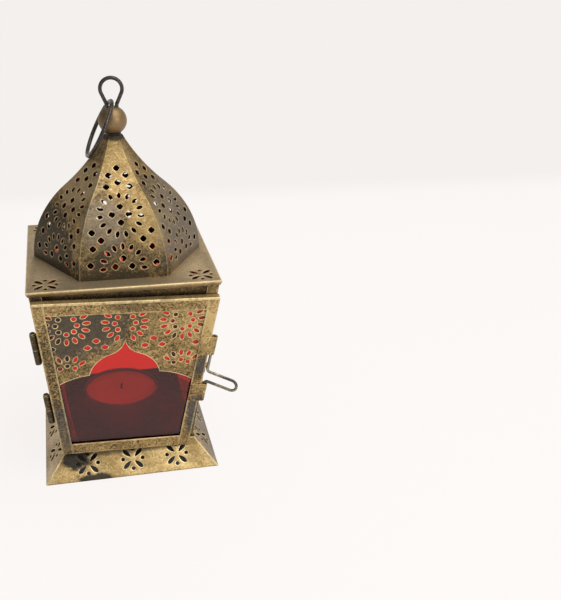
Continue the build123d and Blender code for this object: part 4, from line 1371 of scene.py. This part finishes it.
class LANTERN_OT_wires(bpy.types.Operator):
    """Bends the hanger loop, the carrying ring and the hasp"""

    bl_idname = "lantern.wires"
    bl_label = "Make wires"

    def execute(self, context):
        self.make_loop(context.scene)
        self.make_ring(context.scene.lantern_dome)
        self.make_hasp(context.scene)
        return {"FINISHED"}

    def make_loop(self, scene):
        """Two legs that open by straight arms into a round eye."""
        dome = scene.lantern_dome
        top = scene.lantern_body.roof_top + dome.height + 2 * dome.ball
        eye = top + dome.loop_height - dome.loop_eye - dome.loop_wire / 2
        foot = top + dome.loop_stand
        side = dome.loop_legs + dome.loop_bend
        reach = hypot(side, eye - foot)
        swing = acos((dome.loop_eye + dome.loop_bend) / reach)
        turn = atan2(eye - foot, side) - swing
        arm = reach * sin(swing)
        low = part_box("hanger_loop")[0].z
        wire = Wire(dome.loop_wire, (dome.loop_legs, 0, low), (0, 0, 1))
        wire.run(foot - low)
        back = Vector((0, -1, 0))
        wire.bend(-back, dome.loop_bend, turn, 8)
        wire.run(arm)
        wire.bend(back, dome.loop_eye, pi + 2 * turn, 40)
        wire.run(arm)
        wire.bend(-back, dome.loop_bend, turn, 8)
        wire.run(foot - low)
        finish_piece(wire.close(), "bent_hanger_loop", LANTERN, "dark_wire", "dark wire", "hanger_loop")

    def make_ring(self, dome):
        """Closed ring through the loop's legs."""
        pivot = joint_place("ring_swing")[0]
        fall = Vector((-sin(dome.ring_lean), 0, -cos(dome.ring_lean)))
        bm = bmesh.new()
        worn_layer(bm)
        made = bmesh.ops.create_circle(bm, cap_ends=False, segments=14, radius=dome.ring_wire / 2)
        turn = Vector((0, 0, 1)).rotation_difference(Vector((0, 1, 0))).to_matrix().to_4x4()
        bmesh.ops.transform(bm, matrix=Matrix.Translation(pivot) @ turn, verts=made["verts"])
        bmesh.ops.spin(
            bm,
            geom=bm.verts[:] + bm.edges[:],
            cent=pivot + fall * dome.ring_radius,
            axis=fall.cross(Vector((0, 1, 0))),
            angle=2 * pi,
            steps=72,
            use_merge=True,
        )
        bmesh.ops.remove_doubles(bm, verts=bm.verts[:], dist=WELD)
        bmesh.ops.recalc_face_normals(bm, faces=bm.faces[:])
        finish_piece(bm, "bent_carry_ring", RING, "dark_wire", "dark wire", "carry_ring")

    def make_hasp(self, scene):
        """Prong, arm, hairpin, arm and prong in one wire."""
        door = scene.lantern_door
        pivot, up = joint_place("hasp_swing")
        face = door_place(scene.lantern_body, door, 0).col[2].to_3d()
        out = up.cross(face)
        out = out * cos(door.hasp_rest) + face * sin(door.hasp_rest)
        side = out.cross(up)
        hairpin = door.hasp_spacing / 2
        wire = Wire(door.hasp_wire, pivot + up * door.hasp_upper_prong, -up)
        wire.run(door.hasp_upper_prong - door.hasp_bend)
        wire.bend(side, door.hasp_bend, pi / 2, 8)
        wire.run(door.hasp_arm - door.hasp_bend - hairpin)
        wire.bend(-side, hairpin, pi, 20)
        wire.run(door.hasp_arm - door.hasp_bend - hairpin)
        wire.bend(side, door.hasp_bend, pi / 2, 8)
        wire.run(door.hasp_lower_prong - door.hasp_spacing - door.hasp_bend)
        finish_piece(wire.close(), "bent_hasp_wire", HASP, "dark_wire", "hasp wire", "hasp_wire")


class LANTERN_OT_candle(bpy.types.Operator):
    """Turns the candle's cup and wax and stands the wick in it"""

    bl_idname = "lantern.candle"
    bl_label = "Make candle"

    def execute(self, context):
        low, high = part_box("candle_cup")
        radius = (high.x - low.x) / 2
        wall = 0.0004
        bead = 0.00035
        outer = [(0, low.z), (radius - 0.001, low.z), (radius - 0.0002, low.z + 0.0009)]
        outer += [(radius - 0.0001, high.z - 3 * bead), (radius, high.z - 2 * bead)]
        outer += [(radius, high.z - bead), (radius - bead * 0.5, high.z)]
        outer += [(radius - bead * 1.5, high.z - bead * 0.3)]
        inner = [(radius - wall - bead * 0.6, high.z - 2 * bead), (radius - wall - 0.0002, low.z + 0.0012)]
        inner += [(radius - 0.002, low.z + wall), (0, low.z + wall)]
        self.turn(outer + inner, "turned_candle_cup", "cup_aluminium", "pressed cup", "candle_cup")
        foot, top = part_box("candle_wax")
        radius = (top.x - foot.x) / 2 - 0.0002
        wax = [(0, foot.z + 0.0002), (radius - 0.0003, foot.z + 0.0002), (radius, foot.z + 0.0006)]
        wax += [(radius, top.z - 0.0002), (radius - 0.0006, top.z), (radius * 0.7, top.z - 0.0005)]
        wax += [(radius * 0.3, top.z - 0.0007), (0.0012, top.z - 0.0005)]
        wax += [(0.0006, top.z - 0.0001), (0, top.z)]
        self.turn(wax, "turned_candle_wax", "candle_wax", "candle wax", "candle_wax")
        start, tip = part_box("candle_wick")
        middle = (start + tip) / 2
        wire = Wire((tip.x - start.x) * 0.92, (middle.x, middle.y, start.z), (0, 0, 1))
        rise = tip.z - start.z
        wire.run(rise * 0.64)
        wire.bend((1, 0, 0), rise * 0.35, radians(50), 6)
        wire.run(rise * 0.08)
        finish_piece(wire.close(), "standing_wick", LANTERN, "candle_wick", "burnt wick", "candle_wick")
        return {"FINISHED"}

    def turn(self, profile, name, slot, material, node):
        """Spins a profile about its own middle and sets it where the solid stands."""
        low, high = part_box(node)
        middle = (low + high) / 2
        bm = turned_shape(profile, 64)
        bmesh.ops.translate(bm, vec=(middle.x, middle.y, 0), verts=bm.verts)
        finish_piece(bm, name, LANTERN, slot, material, node)


class LANTERN_OT_panes(bpy.types.Operator):
    """Gives the four panes their red glass"""

    bl_idname = "lantern.panes"
    bl_label = "Glaze panes"

    def execute(self, context):
        panes = [pane for node, pane in frame["nodes"].items() if "glass" in node]
        if not panes:
            raise RuntimeError("The frame has no panes")
        for pane in panes:
            pane.data.materials.clear()
            pane.data.materials.append(bpy.data.materials["red glass"])
        return {"FINISHED"}


class LANTERN_OT_stage(bpy.types.Operator):
    """Sets the pale floor, the soft light and the camera"""

    bl_idname = "lantern.stage"
    bl_label = "Set stage"

    def execute(self, context):
        scene = context.scene
        finish = scene.lantern_finish
        scene.view_settings.view_transform = "Standard"
        self.make_floor(finish)
        self.make_world(scene, finish)
        self.make_lamp("overhead soft box", (0.25, -0.25, 0.95), 0.8, finish.overhead)
        self.make_lamp("front soft box", (0.55, -0.8, 0.45), 0.5, finish.front)
        self.make_camera(scene)
        return {"FINISHED"}

    def make_floor(self, finish):
        """Pale floor that shows near white, keeps a soft shadow and has painted shade inside the base."""
        bm = bmesh.new()
        bmesh.ops.create_circle(bm, cap_ends=True, segments=96, radius=3.0)
        mesh = bpy.data.meshes.new("floor")
        bm.to_mesh(mesh)
        bm.free()
        floor = link_object("floor", mesh)
        floor.location.z = -0.0002
        tree, shader = new_material("pale floor")
        shader.inputs["Roughness"].default_value = 0.9
        shader.inputs["Specular IOR Level"].default_value = 0.1
        place = add_split(tree, "Object")
        sweep_start, sweep_end = 0.36, 0.43
        shadow_share = 0.12
        skirt_half = 0.0422
        far = add_range(tree, place["Y"], sweep_start, sweep_end, 0.0, 1.0)
        glow = tree.nodes.new("ShaderNodeEmission")
        tree.links.new(add_mix(tree, far, finish.floor_glow, finish.backdrop), glow.inputs["Color"])
        seen = add_seen(tree, 1.0)
        plain = add_range(tree, place["Y"], sweep_start, sweep_end, 1.0 - shadow_share, 1.0)
        share = add_math(tree, "MULTIPLY", seen, plain)
        across = [add_math(tree, "ABSOLUTE", place[axis], 0.0) for axis in ("X", "Y")]
        outside = add_math(tree, "GREATER_THAN", add_math(tree, "MAXIMUM", *across), skirt_half)
        share = add_math(tree, "MULTIPLY", share, outside)
        # Painted shade: the floor inside the base's footprint is darkened.
        under = [c * 0.3 for c in finish.floor]
        tree.links.new(add_mix(tree, outside, under, finish.floor), shader.inputs["Base Color"])
        blend_surface(tree, share, shader.outputs["BSDF"], glow.outputs["Emission"])
        mesh.materials.append(bpy.data.materials["pale floor"])

    def make_world(self, scene, finish):
        """Pale to the eye, through glass and low in metal; soft light from above, less from the left."""
        world = bpy.data.worlds.new("pale room")
        scene.world = world
        world.use_nodes = True
        tree = world.node_tree
        back = tree.nodes["Background"]
        view = add_split(tree, "Generated")
        high = add_range(tree, view["Z"], -0.1, 0.85, 0.42, 1.0)
        side = add_range(tree, view["X"], -0.95, 0.35, 0.46, 1.0)
        light = add_math(tree, "MULTIPLY", add_math(tree, "MULTIPLY", high, side), finish.ambient)
        room = tree.nodes.new("ShaderNodeCombineColor")
        for channel, warmth in (("Red", 1.0), ("Green", 0.985), ("Blue", 0.96)):
            tree.links.new(add_math(tree, "MULTIPLY", light, warmth), room.inputs[channel])
        backdrop_full, backdrop_top = 0.05, 0.35
        seen = add_seen(tree, add_range(tree, view["Z"], backdrop_full, backdrop_top, 1.0, 0.0))
        tree.links.new(add_mix(tree, seen, room.outputs["Color"], finish.backdrop), back.inputs["Color"])

    def make_lamp(self, name, place, size, power):
        """Square soft box that faces the lantern's middle."""
        lamp = bpy.data.lights.new(name, "AREA")
        lamp.size = size
        lamp.energy = power
        box = link_object(name, lamp)
        box.location = place
        aim = Vector((0, 0, 0.09)) - Vector(place)
        box.rotation_euler = aim.to_track_quat("-Z", "Y").to_euler()

    def make_camera(self, scene):
        """Camera at the photograph's place, looking down at the lantern from the front."""
        eye = Vector((-0.02449, -0.40407, 0.26674))
        yaw, pitch, roll = -0.2625, 0.4373, 0.0395
        ahead = Vector((-sin(yaw) * cos(pitch), cos(yaw) * cos(pitch), -sin(pitch)))
        level_right = Vector((cos(yaw), sin(yaw), 0))
        level_up = level_right.cross(ahead)
        right = level_right * cos(roll) + level_up * sin(roll)
        up = level_up * cos(roll) - level_right * sin(roll)
        focal_pixels = 862.85
        picture_pixels = 600.0
        lens = bpy.data.cameras.new("camera")
        lens.sensor_width = 36.0
        lens.lens = focal_pixels * lens.sensor_width / picture_pixels
        lens.clip_start = 0.01
        camera = link_object("camera", lens)
        camera.matrix_world = Matrix.Translation(eye) @ Matrix((right, up, -ahead)).transposed().to_4x4()
        scene.camera = camera


class LANTERN_PT_sidebar(bpy.types.Panel):
    """Steps of the lantern in the order that they are made"""

    bl_label = "Fanous lantern"
    bl_idname = "LANTERN_PT_sidebar"
    bl_space_type = "VIEW_3D"
    bl_region_type = "UI"
    bl_category = "Lantern"

    def draw(self, context):
        for step in STEPS:
            self.layout.operator(step.bl_idname)


GROUPS = {
    "lantern_sheets": LanternSheets,
    "lantern_body": LanternBody,
    "lantern_dome": LanternDome,
    "lantern_door": LanternDoor,
    "lantern_finish": LanternFinish,
}
STEPS = (
    LANTERN_OT_finishes,
    LANTERN_OT_base,
    LANTERN_OT_roof,
    LANTERN_OT_dome,
    LANTERN_OT_screens,
    LANTERN_OT_frame,
    LANTERN_OT_ball,
    LANTERN_OT_wires,
    LANTERN_OT_candle,
    LANTERN_OT_panes,
    LANTERN_OT_stage,
)


def register():
    """Registers the settings, the steps and the sidebar."""
    for name, group in GROUPS.items():
        bpy.utils.register_class(group)
        setattr(bpy.types.Scene, name, PointerProperty(type=group))
    for item in (*STEPS, LANTERN_PT_sidebar):
        bpy.utils.register_class(item)


def unregister():
    """Takes the sidebar, the steps and the settings away again."""
    for item in (LANTERN_PT_sidebar, *reversed(STEPS)):
        bpy.utils.unregister_class(item)
    for name, group in reversed(GROUPS.items()):
        delattr(bpy.types.Scene, name)
        bpy.utils.unregister_class(group)


def main():
    """Makes every piece in order."""
    register()
    for step in STEPS:
        family, action = step.bl_idname.split(".")
        getattr(getattr(bpy.ops, family), action)()


if __name__ == "__main__":
    main()
